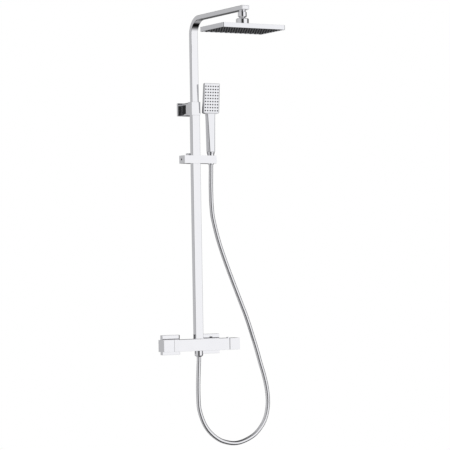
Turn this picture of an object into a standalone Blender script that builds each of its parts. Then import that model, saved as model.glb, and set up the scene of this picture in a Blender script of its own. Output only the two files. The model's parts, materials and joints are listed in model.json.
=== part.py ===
"""Rainfall shower column: a thermostatic bar valve, a telescopic riser with a fixed arm and a
rain head on a ball joint, a sliding holder and a hand shower on a metal hose.

X runs along the valve to the right, -Y comes out of the wall and +Z is up.  The wall is the
plane Y = 0 and the origin lies on it, half way between the two water inlets.  Metres.
"""

import math

import bmesh
import bpy
from mathutils import Matrix, Vector

# ---------------------------------------------------------------- shared fits
GAP = 0.0003              # between pieces that touch
RUN = 0.0004              # between pieces that slide or turn on each other
EDGE = 0.0007             # broken edge on the visible blocks

# ---------------------------------------------------------------- bar valve
INLET_SPACING = 0.150
VALVE_Y = -0.0720         # axis of the bar, in front of the wall
BAR_HEIGHT = 0.0386
BAR_DEPTH = 0.0382
BAR_LENGTH = 0.2074       # cast body between the two handles
HANDLE_LENGTH = 0.0384
HANDLE_SEAM = 0.0006
HANDLE_WALL = 0.0028
CARTRIDGE_BORE = 0.0290
CARTRIDGE_LENGTH = 0.0520
CARTRIDGE_RECESS = 0.0040
SPINDLE_DIAMETER = 0.0100
SPINDLE_REACH = 0.0240    # beyond the end of the body
CHANNEL_DIAMETER = 0.0080
CHANNEL_OFFSET = 0.0090   # riser channel above, hose channel below the axis
MIXED_OFFSET = 0.0085     # mixed water channel, in front of the axis
INLET_BORE = 0.0150
STUB_DIAMETER = 0.0264    # G3/4 connections on the back
STUB_LENGTH = 0.0130
STOP_RING_DIAMETER = 0.0260
STOP_RING_WIDTH = 0.0030
BUTTON_WIDTH = 0.0055
BUTTON_DEPTH = 0.0100
BUTTON_PROUD = 0.0027
BUTTON_FROM_SEAM = 0.0012

# ---------------------------------------------------------------- wall unions
ROSE_SIDE = 0.0650
ROSE_DEPTH = 0.0152
ROSE_WALL = 0.0020
UNION_SHANK = 0.0240
UNION_THREAD = 0.0209     # G1/2, into the wall
UNION_THREAD_LENGTH = 0.0110
UNION_BORE = 0.0140
UNION_NUT_FLATS = 0.0320
UNION_FLANGE = 0.0016
FILTER_THICKNESS = 0.0020

# ---------------------------------------------------------------- riser
COLUMN_Y = -0.0653
LOWER_WIDTH = 0.0298
LOWER_DEPTH = 0.0173
TUBE_WALL = 0.0012
TUBE_SIDE_PLAY = 0.00055  # upper tube inside the lower one
TUBE_FRONT_PLAY = 0.000375
TUBE_CORNER = 0.0022
UPPER_BOTTOM = 0.5450     # foot of the upper tube, inside the lower one
ARM_TOP = 1.0806
ARM_END_Y = -0.4075
BEND_RADIUS = 0.0530      # to the middle of the tube
BEND_STEPS = 10
FOOT_PLUG_HEIGHT = 0.0220
NIPPLE_DIAMETER = 0.0120
NIPPLE_BORE = 0.0085
NIPPLE_REACH = 0.0150     # into the plug and into the body
GUIDE_LENGTH = 0.0260
GUIDE_SPIGOT = 0.0100
SEAL_WIDTH = 0.0030
END_CAP_THICKNESS = 0.0050
PLUG_DEPTH_IN_GUIDE = 0.0040  # overlap of the spigot with the guide it is moulded on
GUIDE_BORE = 0.0070
SEAL_GROOVE = 0.0012
SEAL_ABOVE_FOOT = 0.0100

# ---------------------------------------------------------------- wall bracket
BRACKET_Z = 0.7780
LOWER_TOP_ABOVE = 0.0020  # rim of the lower tube over the middle of the collar
COLLAR_SIDE_WALL = 0.00145  # beyond the flank of the lower tube
COLLAR_HEIGHT = 0.0440
COLLAR_FRONT_WALL = 0.0011
COLLAR_DEPTH = 0.0262
NECK_WIDTH = 0.0318
NECK_HEIGHT = 0.0428
NECK_CORNER = 0.0090       # rounding of the cast neck between rose and collar
PLATE_WIDTH = 0.0625
PLATE_HEIGHT = 0.0428
PLATE_DEPTH = 0.0085
PLATE_WALL = 0.0018
BASE_WIDTH = 0.0520
BASE_HEIGHT = 0.0340
BASE_THICKNESS = 0.0030
TIE_SCREW = 0.0060
WALL_SCREW = 0.0045
WALL_SCREW_SPACING = 0.0300
WALL_SCREW_LENGTH = 0.0280

# ---------------------------------------------------------------- rain head
OUTLET_FROM_END = 0.0215  # centre of the ball joint behind the end of the arm
NECK_DIAMETER = 0.0208
NECK_LENGTH = 0.0052
SWIVEL_NUT_DIAMETER = 0.0278
SWIVEL_NUT_HEIGHT = 0.0160
BALL_DIAMETER = 0.0250
BALL_BELOW_NUT = 0.0100   # centre of the ball under the nut
SEAT_WALL = 0.0026
HUB_WALL = 0.0041          # of the hub nut beyond the cup that holds the seat
HUB_ABOVE_BALL = 0.0045
HEAD_BELOW_BALL = 0.0190  # top of the head under the centre of the ball
HEAD_WIDTH = 0.2270
HEAD_DEPTH = 0.1480
HEAD_THICKNESS = 0.0146
HEAD_RIM = 0.0030
HEAD_SKIN = 0.0025
SPRAY_PLATE_THICKNESS = 0.0030
HEAD_COLUMNS = 12
HEAD_ROWS = 8
HEAD_PITCH_X = 0.0180
HEAD_PITCH_Y = 0.0170
HEAD_NOZZLE = 0.0048
HEAD_NOZZLE_PROUD = 0.0022
HEAD_BOSS = 0.0195        # threaded boss under the hub
HEAD_BOSS_PROUD = 0.0030
HEAD_INLET = 0.0120
HUB_HOLE = 0.0200

# ---------------------------------------------------------------- slider
SLIDER_BOTTOM = 0.5960
SLIDER_HEIGHT = 0.0260
SLIDER_LEFT = 0.0589
SLIDER_RIGHT = 0.0609
SLIDER_FRONT_Y = -0.0994
SLIDER_DEPTH = 0.0375
LINER_WALL = 0.0012
YOKE_WIDTH = 0.0500
YOKE_BACK_WALL = 0.0080
YOKE_SCREW = 0.0040
SHOE_WIDTH = 0.0120
SHOE_HEIGHT = 0.0140
LEVER_WIDTH = 0.0400
LEVER_THICKNESS = 0.0075
LEVER_PIVOT_ABOVE = 0.0080
LEVER_TOP_ABOVE = 0.0095  # over the top of the slider
LEVER_FROM_YOKE = 0.0040
LEVER_PIN = 0.0030
LUG_WIDTH = 0.0040
SET_SCREW = 0.0060
SET_SCREW_LENGTH = 0.0080
SET_SCREW_Y = -0.0774

# ---------------------------------------------------------------- hand shower and hose
HOLDER_X = 0.0493
HOLDER_Y = -0.0810
HOSE_DIAMETER = 0.0144
HOSE_FIT = 0.0005
CONE_TOP_DIAMETER = 0.0262
CONE_RIM_DIAMETER = 0.0216    # where it leaves the holder
CONE_FOOT_DIAMETER = 0.0192
CONE_ABOVE_HOLDER = 0.0126
CONE_BELOW_HOLDER = 0.0030
SLOT_CLEARANCE = 0.0010
HANDSET_CONNECTOR = 0.0150
HOSE_TOP_BELOW_CONE = 0.0045
HANDLE_FOOT_ABOVE = 0.0130    # bottom of the handle over the slider
GRIP_LENGTH = 0.1255
SPRAY_HEIGHT = 0.1000
SPRAY_WIDTH = 0.0610
SPRAY_TILT = math.radians(4.9)
BACK_NARROWING = 0.10     # how much narrower the handle and the head are at the back
SPRAY_FRONT = 0.0090      # front of the spray head at the shoulder, before the grip's axis
FACE_WIDTH = 0.0560
FACE_HEIGHT = 0.0930
FACE_THICKNESS = 0.0024
FACE_LEDGE = 0.0030       # rim that the spray face rests on
CHAMBER_DEPTH = 0.0040    # water chamber behind the spray face
GRIP_BORE = 0.0110
CONNECTOR_DEPTH = 0.0178  # of the connector in the foot of the grip
CONNECTOR_BORE = 0.0090
FACE_COLUMNS = 6
FACE_ROWS = 9
FACE_PITCH_X = 0.0092
FACE_PITCH_Z = 0.0100
FACE_NOZZLE = 0.0036
FACE_NOZZLE_PROUD = 0.0010
WASHER_THICKNESS = 0.0016
WASHER_BORE = 0.0080
OUTLET_Y = -0.0668
OUTLET_NUT_DIAMETER = 0.0275
OUTLET_NUT_STRAIGHT = 0.0170
OUTLET_NUT_TAPER = 0.0030
OUTLET_NUT_END = 0.0186
OUTLET_NIPPLE = 0.0130
OUTLET_NIPPLE_LENGTH = 0.0080
OUTLET_NIPPLE_BORE = 0.0090

BAR_TOP = BAR_HEIGHT / 2
UPPER_WIDTH = LOWER_WIDTH - 2 * (TUBE_WALL + TUBE_SIDE_PLAY)
UPPER_DEPTH = LOWER_DEPTH - 2 * (TUBE_WALL + TUBE_FRONT_PLAY)
LOWER_TOP = BRACKET_Z + LOWER_TOP_ABOVE
COLLAR_WIDTH = LOWER_WIDTH + 2 * COLLAR_SIDE_WALL
BAR_BACK_Y = VALVE_Y + BAR_DEPTH / 2
BODY_END = BAR_LENGTH / 2
SLIDER_TOP = SLIDER_BOTTOM + SLIDER_HEIGHT
ARM_BOTTOM = ARM_TOP - UPPER_DEPTH
OUTLET_CENTRE_Y = ARM_END_Y + OUTLET_FROM_END
SWIVEL_NUT_TOP = ARM_BOTTOM - GAP - NECK_LENGTH
SWIVEL_NUT_BOTTOM = SWIVEL_NUT_TOP - SWIVEL_NUT_HEIGHT
BALL_Z = SWIVEL_NUT_BOTTOM - BALL_BELOW_NUT
HEAD_TOP = BALL_Z - HEAD_BELOW_BALL

# Free hose, from inside the cone of the hand shower to the outlet under the valve.
HOSE_ROUTE = (
    (0.0493, -0.0810, 0.5850),
    (0.0490, -0.0810, 0.5660),
    (0.0482, -0.0805, 0.5272),
    (0.0487, -0.0800, 0.4876),
    (0.0495, -0.0797, 0.4612),
    (0.0525, -0.0793, 0.4282),
    (0.0568, -0.0791, 0.4067),
    (0.0665, -0.0787, 0.3687),
    (0.0789, -0.0783, 0.3289),
    (0.0937, -0.0778, 0.2890),
    (0.1096, -0.0774, 0.2490),
    (0.1263, -0.0769, 0.2090),
    (0.1434, -0.0765, 0.1688),
    (0.1606, -0.0760, 0.1285),
    (0.1778, -0.0756, 0.0882),
    (0.1961, -0.0750, 0.0377),
    (0.2163, -0.0744, -0.0217),
    (0.2304, -0.0739, -0.0683),
    (0.2431, -0.0735, -0.1072),
    (0.2538, -0.0730, -0.1511),
    (0.2580, -0.0726, -0.1898),
    (0.2568, -0.0723, -0.2151),
    (0.2501, -0.0720, -0.2456),
    (0.2365, -0.0717, -0.2729),
    (0.2124, -0.0713, -0.2997),
    (0.1855, -0.0710, -0.3162),
    (0.1500, -0.0707, -0.3282),
    (0.1179, -0.0704, -0.3297),
    (0.0800, -0.0700, -0.3203),
    (0.0516, -0.0697, -0.3036),
    (0.0291, -0.0694, -0.2823),
    (0.0124, -0.0691, -0.2565),
    (0.0014, -0.0688, -0.2284),
    (-0.0043, -0.0685, -0.2028),
    (-0.0057, -0.0681, -0.1650),
    (-0.0051, -0.0677, -0.1276),
    (-0.0022, -0.0668, -0.0780),
    (-0.0004, -0.0668, -0.0480),
)


# ---------------------------------------------------------------- materials
def make_material(name, colour, roughness, metallic):
    material = bpy.data.materials.new(name)
    material.use_nodes = True
    shader = material.node_tree.nodes["Principled BSDF"]
    shader.inputs["Base Color"].default_value = (*colour, 1.0)
    shader.inputs["Roughness"].default_value = roughness
    shader.inputs["Metallic"].default_value = metallic
    material.diffuse_color = (*colour, 1.0)
    return material


def chrome():
    return ("polished_chrome", (0.86, 0.86, 0.88), 0.05, 1.0)


def plated_plastic():
    return ("chrome_plated_abs", (0.86, 0.86, 0.88), 0.06, 1.0)


def brass():
    return ("raw_brass", (0.76, 0.57, 0.29), 0.32, 1.0)


def steel():
    return ("stainless_steel", (0.62, 0.62, 0.62), 0.28, 1.0)


def rubber():
    return ("black_rubber", (0.02, 0.02, 0.02), 0.75, 0.0)


def silicone():
    return ("grey_silicone", (0.10, 0.10, 0.11), 0.55, 0.0)


def acetal():
    return ("white_acetal", (0.78, 0.78, 0.76), 0.45, 0.0)


def hose_steel():
    return ("wound_chromed_strip", (0.72, 0.72, 0.74), 0.18, 1.0)


# ---------------------------------------------------------------- building blocks
def clear_scene():
    for obj in list(bpy.data.objects):
        bpy.data.objects.remove(obj, do_unlink=True)


def world_of(obj):
    """World position of an empty or of a piece, all of which stay unturned."""
    place = obj.location.copy()
    while obj.parent is not None:
        obj = obj.parent
        place += obj.location
    return place


def make_joint(name, place, parent=None):
    joint = bpy.data.objects.new(name, None)
    joint.empty_display_size = 0.02
    bpy.context.scene.collection.objects.link(joint)
    joint.parent = parent
    joint.location = Vector(place) - (world_of(parent) if parent else Vector())
    return joint


def finish_piece(name, mesh, origin, look, parent=None):
    """Link a mesh that is in world space as a piece with its origin at the given place."""
    mesh.transform(Matrix.Translation(-Vector(origin)))
    piece = bpy.data.objects.new(name, mesh)
    bpy.context.scene.collection.objects.link(piece)
    if look is not None:
        piece.data.materials.append(make_material(name + "_" + look[0], *look[1:]))
    piece.parent = parent
    piece.location = Vector(origin) - (world_of(parent) if parent else Vector())
    return piece


def mesh_from(shape, name):
    bmesh.ops.recalc_face_normals(shape, faces=shape.faces[:])
    mesh = bpy.data.meshes.new(name)
    shape.to_mesh(mesh)
    shape.free()
    return mesh


def box_mesh(name, low, high):
    shape = bmesh.new()
    size = Vector(high) - Vector(low)
    centre = (Vector(high) + Vector(low)) / 2
    bmesh.ops.create_cube(shape, size=1.0)
    bmesh.ops.scale(shape, vec=size, verts=shape.verts)
    bmesh.ops.translate(shape, vec=centre, verts=shape.verts)
    return mesh_from(shape, name)


def add_bevel(piece, width, segments=2):
    bevel = piece.modifiers.new("edges", "BEVEL")
    bevel.width = width
    bevel.segments = segments
    bevel.limit_method = "ANGLE"
    bevel.harden_normals = False
    return bevel


def make_box(name, low, high, look, parent=None, bevel=0.0, origin=None, segments=2):
    centre = (Vector(high) + Vector(low)) / 2 if origin is None else origin
    piece = finish_piece(name, box_mesh(name, low, high), centre, look, parent)
    if bevel:
        add_bevel(piece, bevel, segments)
    return piece


def shade_round(piece, angle=math.radians(32)):
    for face in piece.data.polygons:
        face.use_smooth = True
    piece.data.set_sharp_from_angle(angle=angle)


def turn_matrix(axis):
    if axis == "X":
        return Matrix.Rotation(math.radians(90), 4, "Y")
    if axis == "Y":
        return Matrix.Rotation(math.radians(-90), 4, "X")
    return Matrix.Identity(4)


def turned_mesh(name, profile, centre, axis, steps):
    """Spin a closed outline of (radius, height) pairs about an axis through the centre."""
    shape = bmesh.new()
    verts = [shape.verts.new((radius, 0.0, height)) for radius, height in profile]
    edges = [shape.edges.new((a, b)) for a, b in zip(verts, verts[1:])]
    if profile[0][0] > 0:
        edges.append(shape.edges.new((verts[-1], verts[0])))
    bmesh.ops.spin(
        shape, geom=verts + edges, cent=(0, 0, 0), axis=(0, 0, 1),
        angle=math.tau, steps=steps, use_duplicate=False,
    )
    bmesh.ops.remove_doubles(shape, verts=shape.verts, dist=0.00001)
    bmesh.ops.transform(
        shape, matrix=Matrix.Translation(centre) @ turn_matrix(axis), verts=shape.verts
    )
    return mesh_from(shape, name)


def make_turned(name, profile, centre, look, axis="Z", steps=24, parent=None, origin=None):
    mesh = turned_mesh(name, profile, centre, axis, steps)
    piece = finish_piece(name, mesh, centre if origin is None else origin, look, parent)
    shade_round(piece)
    return piece


def rod_outline(diameter, low, high):
    radius = diameter / 2
    return [(0, low), (radius, low), (radius, high), (0, high)]


def ring_outline(outer, inner, low, high, chamfer=0.0):
    big, small = outer / 2, inner / 2
    if not chamfer:
        return [(small, low), (big, low), (big, high), (small, high)]
    return [
        (small, low), (big - chamfer, low), (big, low + chamfer),
        (big, high - chamfer), (big - chamfer, high), (small, high),
    ]


def apply_cut(piece, cutter, operation="DIFFERENCE"):
    cutter.hide_render = True
    cutter.display_type = "WIRE"
    boolean = piece.modifiers.new(cutter.name, "BOOLEAN")
    boolean.operation = operation
    boolean.solver = "EXACT"
    boolean.object = cutter


def cut_box(piece, low, high):
    name = f"{piece.name}_cut{len(piece.modifiers)}"
    apply_cut(piece, make_box(name, low, high, None))


def cut_rod(piece, diameter, centre, low, high, axis="Z", steps=24):
    name = f"{piece.name}_cut{len(piece.modifiers)}"
    outline = rod_outline(diameter, low, high)
    cutter = finish_piece(name, turned_mesh(name, outline, centre, axis, steps), centre, None)
    apply_cut(piece, cutter)


def cut_turned(piece, outline, centre, axis="Z", steps=24):
    name = f"{piece.name}_cut{len(piece.modifiers)}"
    cutter = finish_piece(name, turned_mesh(name, outline, centre, axis, steps), centre, None)
    apply_cut(piece, cutter)


def weld_box(piece, low, high):
    name = f"{piece.name}_add{len(piece.modifiers)}"
    apply_cut(piece, make_box(name, low, high, None), "UNION")


def weld_turned(piece, outline, centre, axis="Z", steps=24):
    name = f"{piece.name}_add{len(piece.modifiers)}"
    adder = finish_piece(name, turned_mesh(name, outline, centre, axis, steps), centre, None)
    apply_cut(piece, adder, "UNION")


def rounded_outline(width, depth, radius, steps=3):
    """Corners of a rounded rectangle about (0, 0), anticlockwise."""
    points = []
    corners = ((1, 1, 0), (-1, 1, 90), (-1, -1, 180), (1, -1, 270))
    for side_x, side_y, start in corners:
        for step in range(steps + 1):
            angle = math.radians(start + 90 * step / steps)
            points.append((
                side_x * (width / 2 - radius) + radius * math.cos(angle),
                side_y * (depth / 2 - radius) + radius * math.sin(angle),
            ))
    return points


def bridge_rings(shape, rings):
    count = len(rings[0])
    for lower, upper in zip(rings, rings[1:]):
        for i in range(count):
            j = (i + 1) % count
            shape.faces.new((lower[i], lower[j], upper[j], upper[i]))


def loft_mesh(name, sections):
    """Skin a list of closed point rings and cap both ends."""
    shape = bmesh.new()
    rings = [[shape.verts.new(point) for point in ring] for ring in sections]
    bridge_rings(shape, rings)
    shape.faces.new(rings[0])
    shape.faces.new(rings[-1])
    return mesh_from(shape, name)


def tube_mesh(name, path, outer, inner):
    """Skin a hollow section, outer and inner rings of (across, deep) pairs, along a path.

    The path lies in the plane X = 0 as pairs of a centre and the direction of its depth."""
    shape = bmesh.new()
    rings = []
    for section in (outer, inner):
        rings.append([
            [
                shape.verts.new((
                    across, centre[0] + deep * direction[0], centre[1] + deep * direction[1]
                ))
                for across, deep in section
            ]
            for centre, direction in path
        ])
    bridge_rings(shape, rings[0])
    bridge_rings(shape, rings[1])
    bridge_rings(shape, [rings[0][0], rings[1][0]])
    bridge_rings(shape, [rings[0][-1], rings[1][-1]])
    return mesh_from(shape, name)


def hexagon_mesh(name, flats, low, high, centre, axis):
    """A hexagonal prism, low and high along its axis."""
    reach = flats / math.sqrt(3)
    outline = [
        (reach * math.cos(math.radians(60 * i)), reach * math.sin(math.radians(60 * i)))
        for i in range(6)
    ]
    sections = [[(x, y, height) for x, y in outline] for height in (low, high)]
    mesh = loft_mesh(name, sections)
    mesh.transform(Matrix.Translation(centre) @ turn_matrix(axis))
    return mesh


# ---------------------------------------------------------------- bar valve
def build_valve_body():
    low = (-BODY_END, VALVE_Y - BAR_DEPTH / 2, -BAR_TOP)
    high = (BODY_END, BAR_BACK_Y, BAR_TOP)
    body = make_box("valve_body", low, high, chrome(), bevel=EDGE)
    axis = (0, VALVE_Y, 0)
    for side in (-1, 1):
        stub = (side * INLET_SPACING / 2, BAR_BACK_Y, 0)
        weld_turned(body, rod_outline(STUB_DIAMETER, -0.004, STUB_LENGTH), stub, "Y")
    for side in (-1, 1):
        ends = sorted((side * (BODY_END - CARTRIDGE_LENGTH), side * (BODY_END + 0.002)))
        cut_rod(body, CARTRIDGE_BORE, axis, *ends, "X")
        stub = (side * INLET_SPACING / 2, BAR_BACK_Y, 0)
        reach = BAR_DEPTH / 2 - CARTRIDGE_BORE / 2 + 0.003
        cut_rod(body, INLET_BORE, stub, -reach, STUB_LENGTH + 0.002, "Y", 20)
    reach = BODY_END - CARTRIDGE_LENGTH + 0.002
    for height in (CHANNEL_OFFSET, -CHANNEL_OFFSET):
        cut_rod(body, CHANNEL_DIAMETER, (0, VALVE_Y, height), -reach, 0.003, "X", 12)
    mixed = (0, VALVE_Y - MIXED_OFFSET, 0)
    cut_rod(body, CHANNEL_DIAMETER * 0.75, mixed, -reach, reach, "X", 12)
    socket = NIPPLE_DIAMETER + 2 * GAP
    cut_rod(body, socket, (0, COLUMN_Y, 0), BAR_TOP - NIPPLE_REACH, BAR_TOP + 0.002, "Z", 20)
    socket = OUTLET_NIPPLE + 2 * GAP
    low_end = -BAR_TOP - 0.002
    cut_rod(body, socket, (0, OUTLET_Y, 0), low_end, -BAR_TOP + OUTLET_NIPPLE_LENGTH, "Z", 20)
    return body


def build_cartridge(name, side, look):
    """A brass cartridge in one end of the body, its collar outward."""
    radius = CARTRIDGE_BORE / 2 - RUN
    deep = -CARTRIDGE_LENGTH + GAP
    out = -CARTRIDGE_RECESS
    bore = SPINDLE_DIAMETER / 2 + RUN
    stop = deep + 0.016
    outline = [
        (0, deep), (radius - 0.004, deep), (radius - 0.004, deep + 0.012), (radius, deep + 0.014),
        (radius, deep + 0.020), (radius - 0.0025, deep + 0.022), (radius - 0.0025, deep + 0.034),
        (radius, deep + 0.036), (radius, out), (bore, out), (bore, stop), (0, stop),
    ]
    outline = [(r, side * z) for r, z in outline]
    return make_turned(name, outline, (side * BODY_END, VALVE_Y, 0), look, "X")


def build_spindle(name, side, joint):
    radius = SPINDLE_DIAMETER / 2
    deep = -CARTRIDGE_LENGTH + 0.0175
    outline = [
        (0, deep), (radius, deep), (radius, 0.010), (radius - 0.0008, 0.0108),
        (radius - 0.0008, SPINDLE_REACH), (0, SPINDLE_REACH),
    ]
    outline = [(r, side * z) for r, z in outline]
    centre = (side * BODY_END, VALVE_Y, 0)
    return make_turned(name, outline, centre, brass(), "X", 16, joint, (0, VALVE_Y, 0))


def build_handle(name, side, joint):
    """Square handle: a shell on a hub that grips the spindle."""
    near = BODY_END + HANDLE_SEAM
    far = near + HANDLE_LENGTH
    xs = sorted((side * near, side * far))
    low = (xs[0], VALVE_Y - BAR_DEPTH / 2, -BAR_TOP)
    high = (xs[1], BAR_BACK_Y, BAR_TOP)
    handle = make_box(name, low, high, chrome(), joint, EDGE, (0, VALVE_Y, 0))
    inside = sorted((side * (near - 0.001), side * (far - HANDLE_WALL)))
    cut_box(
        handle,
        (inside[0], low[1] + HANDLE_WALL, low[2] + HANDLE_WALL),
        (inside[1], high[1] - HANDLE_WALL, high[2] - HANDLE_WALL),
    )
    hub = sorted((side * (near + 0.006), side * (far - HANDLE_WALL / 2)))
    weld_turned(handle, rod_outline(0.0160, *hub), (0, VALVE_Y, 0), "X", 20)
    bore = sorted((side * (near + 0.002), side * (BODY_END + SPINDLE_REACH + GAP)))
    cut_rod(handle, SPINDLE_DIAMETER + 2 * GAP, (0, VALVE_Y, 0), *bore, "X", 16)
    return handle


def build_stop_button(handle, joint):
    """Sprung safety stop in the top of the temperature handle, beside its seam."""
    left = BODY_END + HANDLE_SEAM + BUTTON_FROM_SEAM
    half = BUTTON_DEPTH / 2
    low = (left, VALVE_Y - half, BAR_TOP - HANDLE_WALL - 0.0006)
    high = (left + BUTTON_WIDTH, VALVE_Y + half, BAR_TOP + BUTTON_PROUD)
    cut_box(
        handle,
        (low[0] - RUN, low[1] - RUN, BAR_TOP - HANDLE_WALL - 0.001),
        (high[0] + RUN, high[1] + RUN, BAR_TOP + 0.002),
    )
    centre = (left + BUTTON_WIDTH / 2, VALVE_Y, BAR_TOP)
    press = make_joint("stop_button_press", centre, joint)
    return make_box("temperature_stop_button", low, high, chrome(), press, 0.0006, centre)


def build_stop_ring():
    outline = ring_outline(STOP_RING_DIAMETER, SPINDLE_DIAMETER + 2 * RUN, 0, STOP_RING_WIDTH)
    outline = [(r, z - CARTRIDGE_RECESS + GAP) for r, z in outline]
    return make_turned("temperature_stop_ring", outline, (BODY_END, VALVE_Y, 0), acetal(), "X")


def build_union(tag, side):
    x = side * INLET_SPACING / 2
    wall = (x, 0, 0)
    face = -(BAR_BACK_Y + STUB_LENGTH + GAP)      # outward from the wall, to the filter
    seat = face - FILTER_THICKNESS - GAP
    bore = UNION_BORE / 2
    flange = STUB_DIAMETER / 2 - 0.0006
    shank = UNION_SHANK / 2
    thread = UNION_THREAD / 2
    outline = [
        (bore, -seat), (flange, -seat), (flange, -seat + UNION_FLANGE),
        (shank, -seat + UNION_FLANGE), (shank, -0.0010), (thread, -0.0010),
        (thread, UNION_THREAD_LENGTH - 0.0015), (thread - 0.0015, UNION_THREAD_LENGTH),
        (bore, UNION_THREAD_LENGTH),
    ]
    make_turned(f"wall_union_{tag}", outline, wall, brass(), "Y")
    filter_disc = ring_outline(STUB_DIAMETER - 0.0012, 0.0060, -face, -seat - GAP)
    make_turned(f"inlet_filter_{tag}", filter_disc, wall, steel(), "Y", 20)
    front = BAR_BACK_Y + GAP
    back = -seat + UNION_FLANGE + GAP + 0.0030
    name = f"union_nut_{tag}"
    mesh = hexagon_mesh(name, UNION_NUT_FLATS, front, back, wall, "Y")
    nut = finish_piece(name, mesh, wall, chrome())
    wide = STUB_DIAMETER / 2 + GAP
    narrow = UNION_SHANK / 2 + GAP
    step = -seat + UNION_FLANGE + GAP
    hole = [(0, front - 0.001), (wide, front - 0.001), (wide, step), (narrow, step)]
    hole += [(narrow, back + 0.001), (0, back + 0.001)]
    cut_turned(nut, hole, wall, "Y")
    build_rose(tag, x)


def build_rose(tag, x):
    half = ROSE_SIDE / 2
    low = (x - half, -ROSE_DEPTH, -half)
    high = (x + half, 0, half)
    rose = make_box(f"inlet_rose_{tag}", low, high, chrome(), bevel=EDGE)
    cut_box(
        rose,
        (low[0] + ROSE_WALL, low[1] + ROSE_WALL, low[2] + ROSE_WALL),
        (high[0] - ROSE_WALL, 0.002, high[2] - ROSE_WALL),
    )
    cut_rod(rose, UNION_SHANK + 2 * RUN, (x, 0, 0), -ROSE_DEPTH - 0.002, 0, "Y")


# ---------------------------------------------------------------- riser
def straight_path(low, high):
    return [((COLUMN_Y, low), (1.0, 0.0)), ((COLUMN_Y, high), (1.0, 0.0))]


def build_lower_tube():
    outer = rounded_outline(LOWER_WIDTH, LOWER_DEPTH, TUBE_CORNER)
    inner = rounded_outline(
        LOWER_WIDTH - 2 * TUBE_WALL, LOWER_DEPTH - 2 * TUBE_WALL, TUBE_CORNER - TUBE_WALL
    )
    path = straight_path(BAR_TOP + GAP, LOWER_TOP)
    mesh = tube_mesh("riser_lower_tube", path, outer, inner)
    tube = finish_piece("riser_lower_tube", mesh, (0, COLUMN_Y, BAR_TOP), chrome())
    shade_round(tube)


def build_riser_foot():
    """Brass plug in the foot of the tube and the threaded nipple under it."""
    width = LOWER_WIDTH - 2 * TUBE_WALL - 2 * GAP
    depth = LOWER_DEPTH - 2 * TUBE_WALL - 2 * GAP
    low = BAR_TOP + 2 * GAP
    section = rounded_outline(width, depth, TUBE_CORNER - TUBE_WALL, 1)
    rings = [
        [(x, COLUMN_Y + y, height) for x, y in section]
        for height in (low, low + FOOT_PLUG_HEIGHT)
    ]
    mesh = loft_mesh("riser_foot_plug", rings)
    plug = finish_piece("riser_foot_plug", mesh, (0, COLUMN_Y, low), brass())
    centre = (0, COLUMN_Y, 0)
    cut_rod(plug, NIPPLE_DIAMETER + 2 * GAP, centre, 0, low + NIPPLE_REACH + GAP, "Z", 20)
    cut_rod(plug, NIPPLE_BORE, centre, low, low + FOOT_PLUG_HEIGHT + 0.002, "Z", 16)
    outline = ring_outline(
        NIPPLE_DIAMETER, NIPPLE_BORE, BAR_TOP - NIPPLE_REACH + GAP, low + NIPPLE_REACH, 0.0005
    )
    make_turned("riser_nipple", outline, centre, brass(), steps=20)


def arm_path():
    """Up the column, round the bend and out along the arm."""
    path = [((COLUMN_Y, UPPER_BOTTOM), (1.0, 0.0))]
    centre_y = COLUMN_Y - BEND_RADIUS
    centre_z = ARM_TOP - UPPER_DEPTH / 2 - BEND_RADIUS
    for step in range(BEND_STEPS + 1):
        angle = math.radians(90 * step / BEND_STEPS)
        out = (math.cos(angle), math.sin(angle))
        place = (centre_y + BEND_RADIUS * out[0], centre_z + BEND_RADIUS * out[1])
        path.append((place, out))
    path.append(((ARM_END_Y, ARM_TOP - UPPER_DEPTH / 2), (0.0, 1.0)))
    return path


def build_upper_tube(joint):
    outer = rounded_outline(UPPER_WIDTH, UPPER_DEPTH, TUBE_CORNER)
    inner = rounded_outline(
        UPPER_WIDTH - 2 * TUBE_WALL, UPPER_DEPTH - 2 * TUBE_WALL, TUBE_CORNER - TUBE_WALL
    )
    mesh = tube_mesh("riser_upper_tube_and_arm", arm_path(), outer, inner)
    origin = (0, COLUMN_Y, LOWER_TOP)
    tube = finish_piece("riser_upper_tube_and_arm", mesh, origin, chrome(), joint)
    shade_round(tube)
    outlet = (0, OUTLET_CENTRE_Y, 0)
    cut_rod(tube, NIPPLE_DIAMETER + 2 * GAP, outlet, ARM_BOTTOM - 0.003, ARM_TOP - 0.005, "Z", 20)


def build_arm_end_cap(joint):
    width = UPPER_WIDTH - 2 * TUBE_WALL - 2 * GAP
    depth = UPPER_DEPTH - 2 * TUBE_WALL - 2 * GAP
    middle = ARM_TOP - UPPER_DEPTH / 2
    low = (-width / 2, ARM_END_Y, middle - depth / 2)
    high = (width / 2, ARM_END_Y + END_CAP_THICKNESS, middle + depth / 2)
    make_box("arm_end_cap", low, high, chrome(), joint, 0.0008)


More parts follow.
